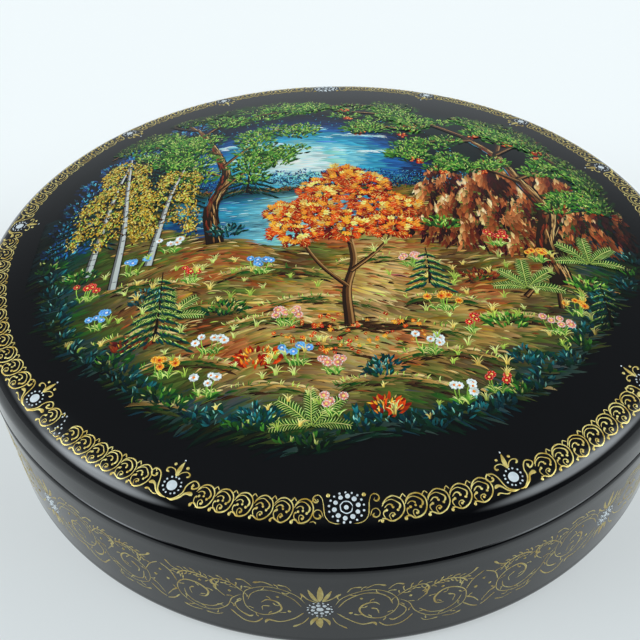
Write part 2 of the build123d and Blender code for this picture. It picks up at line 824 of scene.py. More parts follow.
def ring_of_dots(centre: Pair, radius: float, count: int, diameter: float,
                 stretch: float = 1.0) -> list[Dot]:
    """Dots evenly spaced on a circle, or on an oval.

    Args:
        centre: the circle's centre.
        radius: its radius upwards.
        count: number of dots.
        diameter: diameter of a dot.
        stretch: its radius sideways over its radius upwards.

    Returns:
        The dots.
    """
    angles = [FULL_TURN * (k + 0.3) / count for k in range(count)]
    return [(centre[0] + stretch * radius * math.cos(a), centre[1] + radius * math.sin(a), diameter)
            for a in angles]


def mirrored(strokes: list[Stroke]) -> list[Stroke]:
    """The strokes and their mirror images across the upright line."""
    return strokes + [Stroke(tuple((-x, y) for x, y in s.points), s.width, s.touch, s.spacing)
                      for s in strokes]


class BorderPattern:
    """The lid border's motifs, from the outer edge inwards, in millimetres."""

    arch_pitch: float = 4.83

    def arch(self) -> Motif:
        """One scroll: a wave with a round end that swings up into an arch, with an inner arch and curls."""
        return Motif(
            [
                Stroke(((0.26, 0.36), (0.62, 0.64), (1.02, 0.54), (1.62, 0.22), (2.4, 0.06), (3.3, 0.22),
                        (4.2, 0.8), (4.86, 1.75), (5.06, 2.8), (4.82, 3.8), (4.12, 4.6), (3.06, 4.95),
                        (2.0, 4.82), (1.2, 4.32), (0.5, 3.45)), 0.32),
                Stroke(((0.14, 0.22), (0.42, 0.58), (0.86, 0.66), (1.4, 0.38)), 0.62, Touch.HOOK),
                Stroke(((0.42, 2.95), (0.95, 3.72), (1.75, 4.18), (2.7, 4.26), (3.6, 3.86), (4.18, 3.15),
                        (4.16, 2.5), (3.74, 2.06)), 0.56, Touch.COMMA),
                Stroke(((0.9, 2.75), (1.5, 3.25), (2.15, 3.4), (2.62, 3.12), (2.64, 2.7)), 0.56, Touch.COMMA),
                Stroke(((0.98, 0.62), (0.62, 1.25), (0.76, 1.9), (1.3, 2.22)), 0.6, Touch.COMMA),
                Stroke(((2.1, 0.14), (1.74, 0.66), (1.82, 1.26), (2.28, 1.58), (2.78, 1.4), (2.84, 0.98),
                        (2.52, 0.86)), 0.5, Touch.COMMA),
                Stroke(((4.4, 4.25), (4.8, 4.76), (5.12, 5.12), (5.48, 4.78), (5.84, 4.32)), 0.3),
            ],
            [(0.14, 0.22, 0.66), (3.66, 2.02, 0.62), (1.38, 2.24, 0.6), (2.62, 2.62, 0.56),
             (2.46, 0.92, 0.56)],
        )

    def small_rosette(self) -> Motif:
        """A cradle of two lines with curls, and a leaf finial pointing inwards.

        Returns:
            The motif in gold.
        """
        cradle = [
            Stroke(((0.0, 0.14), (0.9, 0.2), (1.75, 0.62), (2.4, 1.4), (2.8, 2.4), (3.05, 3.45),
                    (3.45, 4.45), (4.15, 4.98), (5.0, 4.85), (5.45, 4.2), (5.15, 3.5), (4.45, 3.35),
                    (4.05, 3.8), (4.35, 4.15)), 0.34),
            Stroke(((4.95, 3.4), (4.3, 3.45), (4.08, 3.95), (4.5, 4.18)), 0.74, Touch.COMMA, 0.2),
            Stroke(((0.8, 0.1), (1.7, 0.3), (2.6, 0.95), (3.2, 1.7), (3.75, 2.18), (4.35, 2.12),
                    (4.85, 1.8)), 0.98, Touch.COMMA, 0.2),
            Stroke(((0.22, 4.85), (0.5, 5.55), (1.1, 6.12), (1.95, 6.28), (2.58, 5.92), (2.52, 5.36),
                    (1.98, 5.26)), 0.66, Touch.COMMA, 0.2),
        ]
        finial = [
            Stroke(((0.0, 4.7), (-0.12, 5.9), (0.02, 7.0), (0.18, 8.15)), 1.05, Touch.LEAF, 0.22),
            Stroke(((0.0, 4.7), (0.05, 6.2), (0.14, 7.6)), 0.18, Touch.LINE),
        ]
        finial.append(Stroke(((-2.0, 0.22), (-2.9, 0.08), (-3.7, 0.34), (-4.4, 0.66), (-4.9, 0.36)), 0.6,
                             Touch.COMMA))
        gold_dots = [(-1.45, 7.2, 0.68), (1.52, 7.1, 0.68)]
        return Motif(mirrored(cradle) + finial, gold_dots)

    def small_rosette_whites(self) -> Motif:
        """The white middle, its ring of dots and the finial's tip."""
        middle = (0.0, 2.85)
        return Motif([], [(*middle, 2.05), (0.22, 8.55, 0.42)] + ring_of_dots(middle, 1.86, 13, 0.42))

    def big_rosette(self) -> Motif:
        """The volutes and two gold dots on either side of the largest rosette."""
        volutes = [
            Stroke(((1.2, 0.1), (2.3, 0.16), (3.4, 0.55), (4.15, 1.55), (4.45, 2.9), (4.62, 4.4),
                    (5.05, 5.5), (5.75, 5.85), (6.5, 5.45), (6.62, 4.72), (6.05, 4.28), (5.55, 4.66),
                    (5.9, 5.05)), 0.44, Touch.COMMA),
            Stroke(((4.5, 1.3), (4.95, 2.5), (5.75, 2.8), (6.4, 2.2), (6.25, 1.35), (5.55, 1.0),
                    (4.98, 1.4), (5.4, 1.92)), 0.48, Touch.COMMA),
            Stroke(((7.1, 0.2), (6.6, 0.46), (6.1, 0.36), (5.8, 0.02)), 0.4, Touch.COMMA),
            Stroke(((4.25, 1.75), (4.42, 3.1), (4.6, 4.35)), 0.24),
        ]
        return Motif(mirrored(volutes), [(-3.64, 5.8, 0.85), (3.64, 5.8, 0.85)])

    def big_rosette_whites(self) -> Motif:
        """A white middle in a thin ring, ten dots round it and small dots outside.

        Returns:
            The motif in white.
        """
        middle = (0.0, 3.35)
        turns = [FULL_TURN * k / 20 for k in range(21)]
        ring = tuple((middle[0] + 1.22 * math.cos(a), middle[1] + 1.22 * math.sin(a)) for a in turns)
        dots = ring_of_dots(middle, 2.25, 10, 1.02, 1.06) + ring_of_dots(middle, 3.1, 17, 0.48, 1.12)
        return Motif([Stroke(ring, 0.26)], [(*middle, 1.0)] + dots)

    def spray_whites(self) -> Motif:
        """The loose spray of white dots that once breaks the scroll."""
        dots = [
            (0.22, 4.98, 0.46), (1.68, 4.85, 0.48), (0.75, 4.18, 0.48), (2.28, 3.85, 0.46), (2.46, 2.9, 0.46),
            (3.37, 2.3, 0.5), (2.1, 2.1, 0.44), (1.91, 1.5, 0.42), (4.1, 1.3, 0.44), (5.65, 1.3, 0.42),
            (3.01, 0.6, 0.46),
        ]
        return Motif([], dots)

    def spray(self) -> Motif:
        """The gold hook and leaf that run under the spray of dots."""
        return Motif(
            [
                Stroke(((0.1, 0.22), (0.4, 0.62), (1.1, 0.5), (1.8, 0.2), (2.5, 0.3)), 0.34, Touch.HOOK),
                Stroke(((1.6, 0.3), (2.3, 0.95), (2.1, 1.75), (2.75, 2.1)), 0.52, Touch.COMMA),
                Stroke(((2.6, 0.3), (3.3, 0.2), (4.0, 0.34), (4.7, 0.9)), 0.42, Touch.COMMA),
            ]
        )


class Ground(Enum):
    """A surface that paint lies on, and the body that it belongs to."""

    LID = "lid"
    WALL = "base"


@dataclass(frozen=True)
class Strip:
    """A strip round the box that motifs stand on: its surface, its radius and the motifs' zero line."""

    ground: Ground
    radius: float
    edge: float


@dataclass(frozen=True)
class Painter:
    """Lays flat ornaments on the lid or on the base wall with Geometry Nodes."""

    lid: LidForm
    base: BaseForm

    @cache
    def place_group(self, ground: Ground) -> NodeTree:
        """Group that finds a place on a turned surface.

        Args:
            ground: which surface.

        Returns:
            A group from Along (distance from the axis, or height), Turn and Lift to Position.
        """
        form, base = self.lid, self.base
        if ground is Ground.LID:
            sizes = {"Dome Radius": form.dome_radius, "Dome Centre": form.dome_centre,
                     "Shoulder Radius": form.shoulder_radius, "Shoulder Reach": form.shoulder_centre,
                     "Shoulder Height": form.wall_top, "Shoulder Start": form.shoulder_start}
        else:
            sizes = {"Foot Radius": base.foot_radius, "Foot Height": base.floor_top, "Flare": base.flare}
        inputs = {"Along": 0.0, "Turn": 0.0, "Lift": 0.0, **sizes}
        name = f"place_on_{ground.name.lower()}"
        group, inside, outside = new_group(name, "GeometryNodeTree", inputs, {"Position": "NodeSocketVector"})
        of = {label: Quantity(inside.outputs[label]) for label in inputs}
        if ground is Ground.LID:
            past = of["Along"].through("GREATER_THAN", of["Shoulder Start"])
            ball = of["Dome Radius"] + (of["Shoulder Radius"] - of["Dome Radius"]) * past
            reach = of["Shoulder Reach"] * past
            level = of["Dome Centre"] + (of["Shoulder Height"] - of["Dome Centre"]) * past
            lean = ((of["Along"] - reach) / ball).through("MINIMUM", 1.0)
            rise = ((lean * lean) * -1.0 + 1.0).through("SQRT")
            distance = reach + (ball + of["Lift"]) * lean
            height = level + (ball + of["Lift"]) * rise
        else:
            distance = of["Foot Radius"] + (of["Along"] - of["Foot Height"]) * of["Flare"] + of["Lift"]
            height = of["Along"]
        turn = of["Turn"]
        join = add_node(group, "ShaderNodeCombineXYZ", X=distance * turn.through("COSINE"),
                        Y=distance * turn.through("SINE"), Z=height)
        feed(outside.inputs["Position"], join.outputs[0])
        return group

    @cache
    def ring_tree(self, ground: Ground) -> NodeTree:
        """Tree that sets motifs along a strip and bends it round the box.

        Args:
            ground: the surface that the strip lies on.

        Returns:
            The tree. A strip's point has its place along the ring in X.
        """
        inputs = {"Geometry": "NodeSocketGeometry", "Motifs": "NodeSocketCollection",
                  "Ring Radius": self.lid.outer_radius, "Border Edge": 0.0, "Material": "NodeSocketMaterial"}
        tree, inside, outside = new_group(f"ring_on_{ground.name.lower()}", "GeometryNodeTree", inputs,
                                          {"Geometry": "NodeSocketGeometry"})
        motifs = add_node(tree, "GeometryNodeCollectionInfo", transform_space="ORIGINAL",
                          Separate_Children=True, Reset_Children=True, Collection=inside.outputs["Motifs"])
        which, stretch = (
            add_node(tree, "GeometryNodeInputNamedAttribute", data_type=kind, Name=label).outputs["Attribute"]
            for label, kind in (("motif", "INT"), ("stretch", "FLOAT"))
        )
        size = add_node(tree, "ShaderNodeCombineXYZ", X=stretch, Y=1.0, Z=1.0)
        strew = add_node(tree, "GeometryNodeInstanceOnPoints", Pick_Instance=True, Instance_Index=which,
                         Points=inside.outputs["Geometry"], Instance=motifs.outputs[0], Scale=size.outputs[0])
        x, y, lift = self.flat_place(tree)
        edge = Quantity(inside.outputs["Border Edge"])
        along = edge - y if ground is Ground.LID else edge + y
        turn = x / Quantity(inside.outputs["Ring Radius"])
        self.bend(ground, strew.outputs[0], inside, outside, (along, turn, lift))
        return tree

    @cache
    def drape_tree(self) -> NodeTree:
        """Tree that lays a flat picture over the lid.

        Returns:
            The tree. A point's Z is how far its paint lies above the ground coat.
        """
        inputs = {"Geometry": "NodeSocketGeometry", "Ground Coat": 0.0, "Material": "NodeSocketMaterial"}
        tree, inside, outside = new_group("picture_on_lid", "GeometryNodeTree", inputs,
                                          {"Geometry": "NodeSocketGeometry"})
        x, y, lift = self.flat_place(tree)
        along = (x * x + y * y).through("SQRT")
        spot = (along, y.through("ARCTAN2", x), lift + Quantity(inside.outputs["Ground Coat"]))
        self.bend(Ground.LID, inside.outputs["Geometry"], inside, outside, spot)
        return tree

    def flat_place(self, tree: NodeTree) -> list[Quantity]:
        """The three coordinates of a point before it is bent."""
        here = add_node(tree, "GeometryNodeInputPosition").outputs[0]
        return [Quantity(part) for part in add_node(tree, "ShaderNodeSeparateXYZ", Vector=here).outputs]

    def bend(self, ground: Ground, flat: NodeSocket, inside: Node, outside: Node,
             spot: tuple[Quantity, Quantity, Quantity]) -> None:
        """Ends a tree: real geometry, moved to the surface and given its paint.

        Args:
            ground: the surface.
            flat: the geometry before it is bent.
            inside: the tree's input node.
            outside: its output node.
            spot: each point's distance along the section, turn and lift.
        """
        tree = outside.id_data
        along, turn, lift = spot
        place = add_node(tree, "GeometryNodeGroup", node_tree=self.place_group(ground), Along=along,
                         Turn=turn, Lift=lift)
        real = add_node(tree, "GeometryNodeRealizeInstances", Geometry=flat)
        move = add_node(tree, "GeometryNodeSetPosition", Geometry=real.outputs[0], Position=place.outputs[0])
        paint = add_node(tree, "GeometryNodeSetMaterial", Geometry=move.outputs[0],
                         Material=inside.outputs["Material"])
        feed(outside.inputs["Geometry"], paint.outputs[0])

    def run(self, name: str, source: Object, tree: NodeTree, finish: Finish,
            inputs: dict[str, object]) -> Object:
        """Runs a tree on an object and keeps the result as a plain mesh.

        Args:
            name: name of the new piece.
            source: the object that the tree starts from; it is deleted.
            tree: the Geometry Nodes tree.
            finish: the paint.
            inputs: a value for each further input socket, by its name.

        Returns:
            The new piece.
        """
        modifier = source.modifiers.new("nodes", "NODES")
        modifier.node_group = tree
        sockets = {item.name: item.identifier for item in tree.interface.items_tree if item.in_out == "INPUT"}
        for label, value in {**inputs, "Material": finish.material}.items():
            modifier[sockets[label]] = value
        graph = bpy.context.evaluated_depsgraph_get()
        mesh = bpy.data.meshes.new_from_object(source.evaluated_get(graph))
        mesh.name = name
        bpy.data.objects.remove(source)
        piece = link_piece(name, mesh)
        return piece

    def ring(self, name: str, strip: Strip, motifs: list[Motif], places: list[tuple[float, int, float]],
             finish: Finish) -> Object:
        """Paints motifs round the box.

        Args:
            name: name of the new piece.
            strip: the strip that they stand on.
            motifs: the motifs, picked by number.
            places: for each motif placed, its angle in degrees, its number and its stretch.
            finish: the paint.

        Returns:
            The painted ring.
        """
        shelf = bpy.data.collections.new(name)
        for number, motif in enumerate(motifs):
            label = f"{name}_{number:02d}"
            shelf.objects.link(bpy.data.objects.new(label, motif.mesh(label)))
        angles, numbers, stretches = zip(*places)
        spots = [(math.radians(angle) * strip.radius, 0.0, 0.0) for angle in angles]
        source = mesh_object(f"{name}_places", np.array(spots), [])
        for label, kind, values in (("motif", "INT", numbers), ("stretch", "FLOAT", stretches)):
            source.data.attributes.new(label, kind, "POINT").data.foreach_set("value", values)
        inputs = {"Motifs": shelf, "Ring Radius": strip.radius, "Border Edge": strip.edge}
        piece = self.run(name, source, self.ring_tree(strip.ground), finish, inputs)
        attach(piece, strip.ground.value)
        for holder in list(shelf.objects):
            bpy.data.objects.remove(holder)
        bpy.data.collections.remove(shelf)
        return piece


@dataclass(frozen=True)
class Rosette:
    """A rosette of the lid's border, and how many scrolls follow it."""

    angle: float
    big: bool
    scrolls: int

    def reach(self) -> Pair:
        """Degrees that it takes before and after its middle."""
        return (4.5, 4.4) if self.big else (3.6, 3.4)


@dataclass
class LidBorder:
    """The gold scroll border on the lid, with its rosettes of white dots."""

    painter: Painter
    gold: Finish
    white: Finish
    strip: Strip = Strip(Ground.LID, 84.4 * MM, 87.1 * MM)
    variants: int = 4
    hand_sway: float = 0.055
    seed: int = 11
    spray_angle: float = 225.0
    rosettes: tuple[Rosette, ...] = (
        Rosette(270.3, True, 5), Rosette(293.8, False, 7), Rosette(322.5, False, 7), Rosette(353.0, False, 7),
        Rosette(384.0, False, 5), Rosette(406.0, False, 5), Rosette(428.0, False, 5), Rosette(450.0, True, 4),
        Rosette(472.6, False, 5), Rosette(495.2, False, 8), Rosette(531.3, False, 12),
        Rosette(577.9, False, 8), Rosette(606.1, False, 6),
    )

    def build(self) -> list[Object]:
        """Paints the border.

        Returns:
            The gold piece and the white piece.
        """
        pattern, variants = BorderPattern(), self.variants
        draw = np.random.default_rng(self.seed)
        golds = [pattern.arch().varied(draw, self.hand_sway) for _ in range(variants)]
        golds += [pattern.small_rosette().varied(draw, self.hand_sway) for _ in range(variants)]
        golds += [pattern.big_rosette(), pattern.spray()]
        whites = [pattern.small_rosette_whites().varied(draw, self.hand_sway) for _ in range(variants)]
        whites += [pattern.big_rosette_whites().varied(draw, self.hand_sway / 2), pattern.spray_whites()]
        gold_places, white_places = [], []
        count = len(self.rosettes)
        for k, rosette in enumerate(self.rosettes):
            follower = self.rosettes[(k + 1) % count]
            variant = int(draw.integers(variants))
            gold_places.append((rosette.angle, 2 * variants if rosette.big else variants + variant, 1.0))
            white_places.append((rosette.angle, variants if rosette.big else variant, 1.0))
            start = rosette.angle + rosette.reach()[1]
            end = (follower.angle + (360 if k == count - 1 else 0)) - follower.reach()[0]
            pitch = (end - start) / rosette.scrolls
            stretch = math.radians(pitch) * self.strip.radius / (pattern.arch_pitch * MM)
            for scroll in range(rosette.scrolls):
                angle = start + scroll * pitch
                if angle % 360 <= self.spray_angle < angle % 360 + pitch:
                    gold_places.append((angle, 2 * variants + 1, stretch))
                    white_places.append((angle, variants + 1, stretch))
                else:
                    gold_places.append((angle, int(draw.integers(variants)), stretch))
        return [
            self.painter.ring("lid_gold_border", self.strip, golds, gold_places, self.gold),
            self.painter.ring("lid_white_dots", self.strip, whites, white_places, self.white),
        ]


class WallPattern:
    """The base wall's motifs, upwards from the band's lower edge, in millimetres."""

    half_span: float = 35.0
    mid_height: float = 8.6

    def scrolls(self) -> list[Stroke]:
        """The scrolls on the right of a rosette, up to where the next one's meet them."""
        return [
            Stroke(((2.9, 9.9), (4.6, 13.2), (7.8, 15.6), (11.6, 15.8), (14.9, 13.6), (16.4, 10.2),
                    (15.6, 6.6), (12.9, 4.6), (9.8, 5.2), (8.2, 7.8), (9.0, 10.4), (11.2, 11.0),
                    (12.5, 9.6)), 0.55, Touch.COMMA, 0.5),
            Stroke(((3.6, 9.2), (5.6, 12.4), (8.6, 14.4), (11.8, 14.4), (14.2, 12.4), (15.2, 9.6)), 0.26,
                   Touch.LINE, 0.6),
            Stroke(((16.2, 11.6), (18.6, 9.2), (20.2, 5.6), (23.4, 2.6), (27.4, 2.2), (30.6, 4.6),
                    (31.4, 8.4), (29.4, 11.4), (26.2, 11.8), (24.2, 9.6), (24.8, 7.2),
                    (26.6, 6.6)), 0.55, Touch.COMMA, 0.5),
            Stroke(((20.9, 6.4), (23.8, 3.8), (27.0, 3.4), (29.4, 5.2), (30.1, 8.0)), 0.26, Touch.LINE, 0.6),
            Stroke(((31.2, 9.6), (32.6, 12.8), (34.8, 14.9)), 0.32, Touch.LINE, 0.5),
            Stroke(((3.4, 7.0), (5.6, 4.4), (8.6, 2.4), (11.2, 2.6), (12.0, 1.2)), 0.8, Touch.COMMA, 0.4),
            Stroke(((2.4, 5.4), (3.6, 3.0), (6.0, 1.0)), 0.62, Touch.COMMA, 0.4),
            Stroke(((16.0, 12.6), (18.6, 15.2), (21.6, 15.4), (22.8, 13.6), (21.6, 12.4)), 0.78,
                   Touch.COMMA, 0.4),
            Stroke(((16.4, 9.4), (18.0, 7.2), (17.6, 4.8), (15.6, 3.2), (14.4, 3.8)), 0.7, Touch.COMMA, 0.4),
            Stroke(((20.2, 9.4), (22.0, 11.6), (22.2, 13.0)), 0.6, Touch.COMMA, 0.4),
            Stroke(((23.2, 14.4), (26.0, 15.6), (29.4, 14.8), (31.2, 12.6)), 0.42, Touch.LINE, 0.5),
            Stroke(((29.6, 14.4), (31.8, 15.4), (33.2, 17.2)), 0.7, Touch.COMMA, 0.4),
            Stroke(((31.6, 6.4), (33.2, 5.0), (34.8, 2.6)), 0.62, Touch.HOOK, 0.4),
            Stroke(((31.2, 4.2), (33.2, 2.2), (34.9, 1.0)), 0.4, Touch.LINE, 0.4),
            Stroke(((9.4, 16.6), (11.4, 17.6), (13.6, 17.0)), 0.7, Touch.COMMA, 0.4),
            Stroke(((13.8, 15.6), (15.6, 17.2), (17.4, 17.0)), 0.62, Touch.COMMA, 0.4),
            Stroke(((5.6, 15.2), (6.8, 16.8), (8.6, 17.2)), 0.62, Touch.COMMA, 0.4),
            Stroke(((12.3, 6.2), (12.0, 8.0), (10.4, 8.6)), 0.66, Touch.COMMA, 0.4),
            Stroke(((28.2, 6.6), (28.6, 8.6), (27.0, 9.6)), 0.62, Touch.COMMA, 0.4),
            Stroke(((21.6, 2.0), (23.0, 0.8), (25.6, 0.6)), 0.6, Touch.COMMA, 0.4),
            Stroke(((26.6, 1.0), (28.8, 0.4), (31.0, 1.2)), 0.62, Touch.COMMA, 0.4),
            Stroke(((12.4, 2.8), (14.0, 1.0), (16.4, 0.8), (18.2, 2.4), (19.6, 4.4)), 0.4, Touch.LINE, 0.4),
        ]

    def leaves(self, stem: Stroke) -> list[Stroke]:
        """Small leaves by turns on either side of a stem.

        Args:
            stem: the stem's stroke.

        Returns:
            The leaves' strokes.
        """
        line = smooth_path(np.array(stem.points), 57)
        ahead = headings(line)
        result = []
        for k in range(4, 56, 4):
            out = left_of(ahead[k]) * (1 if k % 8 else -1)
            points = (line[k], line[k] + 0.3 * ahead[k] + 0.8 * out, line[k] + 1.2 * ahead[k] + 1.3 * out)
            result.append(Stroke(tuple(map(tuple, points)), 0.62, Touch.COMMA, 0.4))
        return result

    def panel(self) -> Motif:
        """A rosette's palmettes with the scrolls on either side.

        Returns:
            The motif in gold.
        """
        palmette = [
            Stroke(((0.0, 11.6), (-0.1, 14.2), (0.0, 17.6)), 1.5, Touch.LEAF, 0.4),
            Stroke(((0.3, 11.6), (1.5, 13.4), (2.5, 16.2)), 1.0, Touch.LEAF, 0.4),
            Stroke(((0.6, 11.4), (2.4, 12.6), (4.2, 14.6)), 0.7, Touch.COMMA, 0.4),
            Stroke(((0.0, 5.4), (0.1, 3.2), (0.0, 0.8)), 1.7, Touch.LEAF, 0.4),
            Stroke(((0.4, 5.4), (1.7, 3.8), (2.1, 1.9)), 1.1, Touch.LEAF, 0.4),
        ]
        dots = [(8.6, 12.6, 0.7), (18.9, 12.0, 0.7), (25.6, 13.4, 0.7), (33.4, 9.2, 0.8), (34.9, 12.0, 0.6),
                (6.4, 7.0, 0.8)]
        both = dots + [(-x, y, d) for x, y, d in dots]
        scrolls = self.scrolls()
        leaves = [leaf for stem in (scrolls[0], scrolls[2], scrolls[7], scrolls[10])
                  for leaf in self.leaves(stem)]
        sides = mirrored(scrolls + leaves + palmette[1:3] + palmette[4:])
        return Motif(sides + [palmette[0], palmette[3]], both)

    def panel_whites(self) -> Motif:
        """The rosette: a white middle, eight large dots and a ring of small ones.

        Returns:
            The motif in white.
        """
        middle = (0.0, self.mid_height)
        dots = ring_of_dots(middle, 1.62, 8, 0.95) + ring_of_dots(middle, 2.6, 16, 0.45)
        return Motif([], [(*middle, 1.5)] + dots)


@dataclass
class WallBand:
    """The softer gold band round the base wall."""

    painter: Painter
    gold: Finish
    white: Finish
    first_angle: float = 221.6
    panels: int = 8
    lower_edge: float = 7.4 * MM
    variants: int = 3
    hand_sway: float = 0.12
    seed: int = 23

    def build(self) -> list[Object]:
        """Paints the band.

        Returns:
            The gold piece and the white piece.
        """
        pattern, count = WallPattern(), self.panels
        draw = np.random.default_rng(self.seed)
        strip = Strip(Ground.WALL, self.painter.base.foot_radius, self.lower_edge)
        stretch = math.pi * strip.radius / (count * pattern.half_span * MM)
        golds = [pattern.panel().varied(draw, self.hand_sway) for _ in range(self.variants)]
        whites = [pattern.panel_whites().varied(draw, self.hand_sway / 2) for _ in range(self.variants)]
        places = [(self.first_angle + 360 * k / count, k % self.variants, stretch) for k in range(count)]
        return [
            self.painter.ring("wall_gold_band", strip, golds, places, self.gold),
            self.painter.ring("wall_white_dots", strip, whites, places, self.white),
        ]


class Tint(Enum):
    """The palette: each colour from a stroke's start to its end, its parts in 0 to 255."""

    NIGHT = ((5, 9, 12), (9, 18, 22))
    UMBER = ((34, 20, 10), (66, 40, 20))
    BARK = ((78, 46, 22), (134, 88, 44))
    BARK_LIGHT = ((158, 112, 62), (216, 172, 108))
    DEEP_TEAL = ((6, 36, 44), (10, 62, 68))
    TEAL = ((10, 74, 84), (34, 118, 118))
    PALE_TEAL = ((70, 156, 146), (166, 218, 190))
    DEEP_BLUE = ((6, 24, 58), (12, 48, 98))
    BLUE = ((12, 62, 124), (28, 104, 172))
    TURQUOISE = ((22, 122, 160), (64, 172, 192))
    SKY = ((84, 182, 204), (150, 216, 220))
    CLOUD = ((176, 220, 222), (238, 246, 236))
    BRIGHT_BLUE = ((34, 104, 206), (120, 182, 242))
    PINE = ((6, 32, 24), (14, 66, 42))
    LEAF_DARK = ((12, 50, 18), (34, 86, 26))
    LEAF = ((30, 98, 30), (82, 148, 42))
    LEAF_LIGHT = ((84, 150, 44), (172, 200, 80))
    LEAF_TIP = ((168, 194, 74), (240, 232, 148))
    LIME = ((120, 168, 52), (206, 220, 96))
    MOSS = ((46, 62, 22), (92, 104, 38))
    OLIVE = ((86, 84, 34), (138, 130, 60))
    OCHRE = ((148, 110, 48), (190, 150, 80))
    SAND = ((180, 144, 84), (222, 194, 132))
    SIENNA = ((112, 50, 20), (166, 84, 36))
    RUST = ((84, 24, 12), (140, 50, 22))
    MAROON = ((52, 12, 14), (96, 24, 26))
    ROCK = ((168, 88, 42), (214, 132, 74))
    ROCK_LIGHT = ((226, 168, 108), (248, 218, 170))
    FLAME_DARK = ((112, 14, 8), (170, 30, 12))
    FLAME = ((190, 36, 10), (232, 84, 18))
    FLAME_LIGHT = ((238, 112, 20), (252, 172, 46))
    FLAME_TIP = ((250, 194, 66), (255, 234, 140))
    RED = ((156, 14, 12), (222, 46, 30))
    PINK = ((214, 92, 78), (246, 170, 150))
    WHITE = ((214, 220, 212), (246, 246, 238))
    GOLD_LEAF = ((150, 106, 22), (222, 176, 52))
    GOLD_LIGHT = ((220, 180, 64), (252, 234, 142))


PALETTE = tuple(Tint)
SHADES = (0.30, 0.50, 0.70, 0.86, 1.0, 1.16)


class Foliage(Enum):
    """Four colours of a kind of foliage, from its shadows to its lit tips."""

    GREEN = (Tint.LEAF_DARK, Tint.LEAF, Tint.LEAF_LIGHT, Tint.LEAF_TIP)
    PINE = (Tint.PINE, Tint.LEAF_DARK, Tint.LEAF, Tint.LEAF_TIP)
    TEAL = (Tint.PINE, Tint.DEEP_TEAL, Tint.TEAL, Tint.PALE_TEAL)
    BLUE = (Tint.DEEP_BLUE, Tint.BLUE, Tint.TURQUOISE, Tint.SKY)
    FAR_GREEN = (Tint.DEEP_BLUE, Tint.TEAL, Tint.TURQUOISE, Tint.LEAF_LIGHT)
    SHORE = (Tint.NIGHT, Tint.LEAF_DARK, Tint.SIENNA, Tint.GOLD_LEAF)
    FIR = (Tint.NIGHT, Tint.PINE, Tint.DEEP_TEAL, Tint.TEAL)
    YOUNG_FIR = (Tint.PINE, Tint.DEEP_TEAL, Tint.LEAF, Tint.LEAF_TIP)
    RUSSET = (Tint.MAROON, Tint.RUST, Tint.SIENNA, Tint.GOLD_LEAF)
    FLAME = (Tint.FLAME_DARK, Tint.FLAME, Tint.FLAME_LIGHT, Tint.FLAME_TIP)


class Bloom(Enum):
    """A flower's petals, heart and edge."""

    RED = (Tint.RED, Tint.FLAME_TIP, Tint.PINK)
    BLUE = (Tint.BRIGHT_BLUE, Tint.WHITE, Tint.SKY)
    PINK = (Tint.PINK, Tint.FLAME_TIP, Tint.WHITE)
    ORANGE = (Tint.FLAME_LIGHT, Tint.RED, Tint.FLAME_TIP)
    WHITE = (Tint.WHITE, Tint.FLAME_LIGHT, Tint.CLOUD)


def soft_step(value: Array, low: float, high: float) -> Array:
    """Runs smoothly from 0 where a value is low to 1 where it is high."""
    share = np.clip((value - low) / (high - low), 0.0, 1.0)
    return share * share * (3 - 2 * share)


def blend(first: Array, second: Array, share: Array) -> Array:
    """Mixes two colours, or rows of them, by a share at each place."""
    return first + (np.asarray(second, float) - first) * np.asarray(share)[..., None]


def ramp(value: Array, stops: dict[float, Triple]) -> Array:
    """The colours that a value has between named stops."""
    return np.stack([np.interp(value, list(stops), channel) for channel in zip(*stops.values())], -1)


def clouds(x: Array, y: Array, seed: int, scale: float) -> Array:
    """A soft uneven field between 0 and 1.

    Args:
        x: first coordinates of the places, in millimetres.
        y: second coordinates.
        seed: which field.
        scale: size of its largest patches.

    Returns:
        The field at the places.
    """
    draw = np.random.default_rng(seed)
    total, weight = 0.0, 0.0
    for octave in range(4):
        strength = 0.6**octave
        for _ in range(3):
            turn, phase = draw.uniform(0, FULL_TURN, 2)
            pace = 2**octave / scale * draw.uniform(0.7, 1.3)
            total = total + strength * np.sin(pace * (x * math.cos(turn) + y * math.sin(turn)) + phase)
            weight += strength
    return 0.5 + 0.5 * np.clip(total / weight * 2.2, -1, 1)


@dataclass(frozen=True)
class Region:
    """A part of the picture that rows of blended strokes fill, in millimetres."""

    area: tuple[float, float, float, float]
    gap: float
    lengths: Pair
    widths: Pair
    stray: float

    def slope(self, x: Array, y: Array) -> Array:
        """Direction of the strokes at places."""
        return np.zeros(x.shape)


@dataclass(frozen=True)
class Sky(Region):
    """A pale glow that sinks into deep blue and black."""

    middle: Pair = (-8.0, 27.0)
    reach: Pair = (38.0, 31.0)
    foot: float = 14.0

    def far(self, x: Array, y: Array) -> Array:
        """Distance from the glow's middle, 1 where the blue ends."""
        return np.hypot((x - self.middle[0]) / self.reach[0], (y - self.middle[1]) / self.reach[1])

    def depth(self, x: Array, y: Array) -> Array:
        """How far places are inside the sky, negative outside."""
        return np.minimum(y - self.foot, self.reach[1] * (1.1 - self.far(x, y)))

    def colour(self, x: Array, y: Array) -> Array:
        """Colours at places."""
        far = self.far(x, y) + 0.10 * (clouds(x, y * 2, 14, 9.0) - 0.5)
        return ramp(far, {0.08: (222, 238, 224), 0.32: (124, 204, 213), 0.5: (46, 146, 190),
                          0.7: (18, 80, 142), 0.88: (8, 28, 50), 1.1: (5, 9, 14)})

    def slope(self, x: Array, y: Array) -> Array:
        """Strokes arch over the glow."""
        return -0.0006 * (x - self.middle[0]) * (y - self.foot)


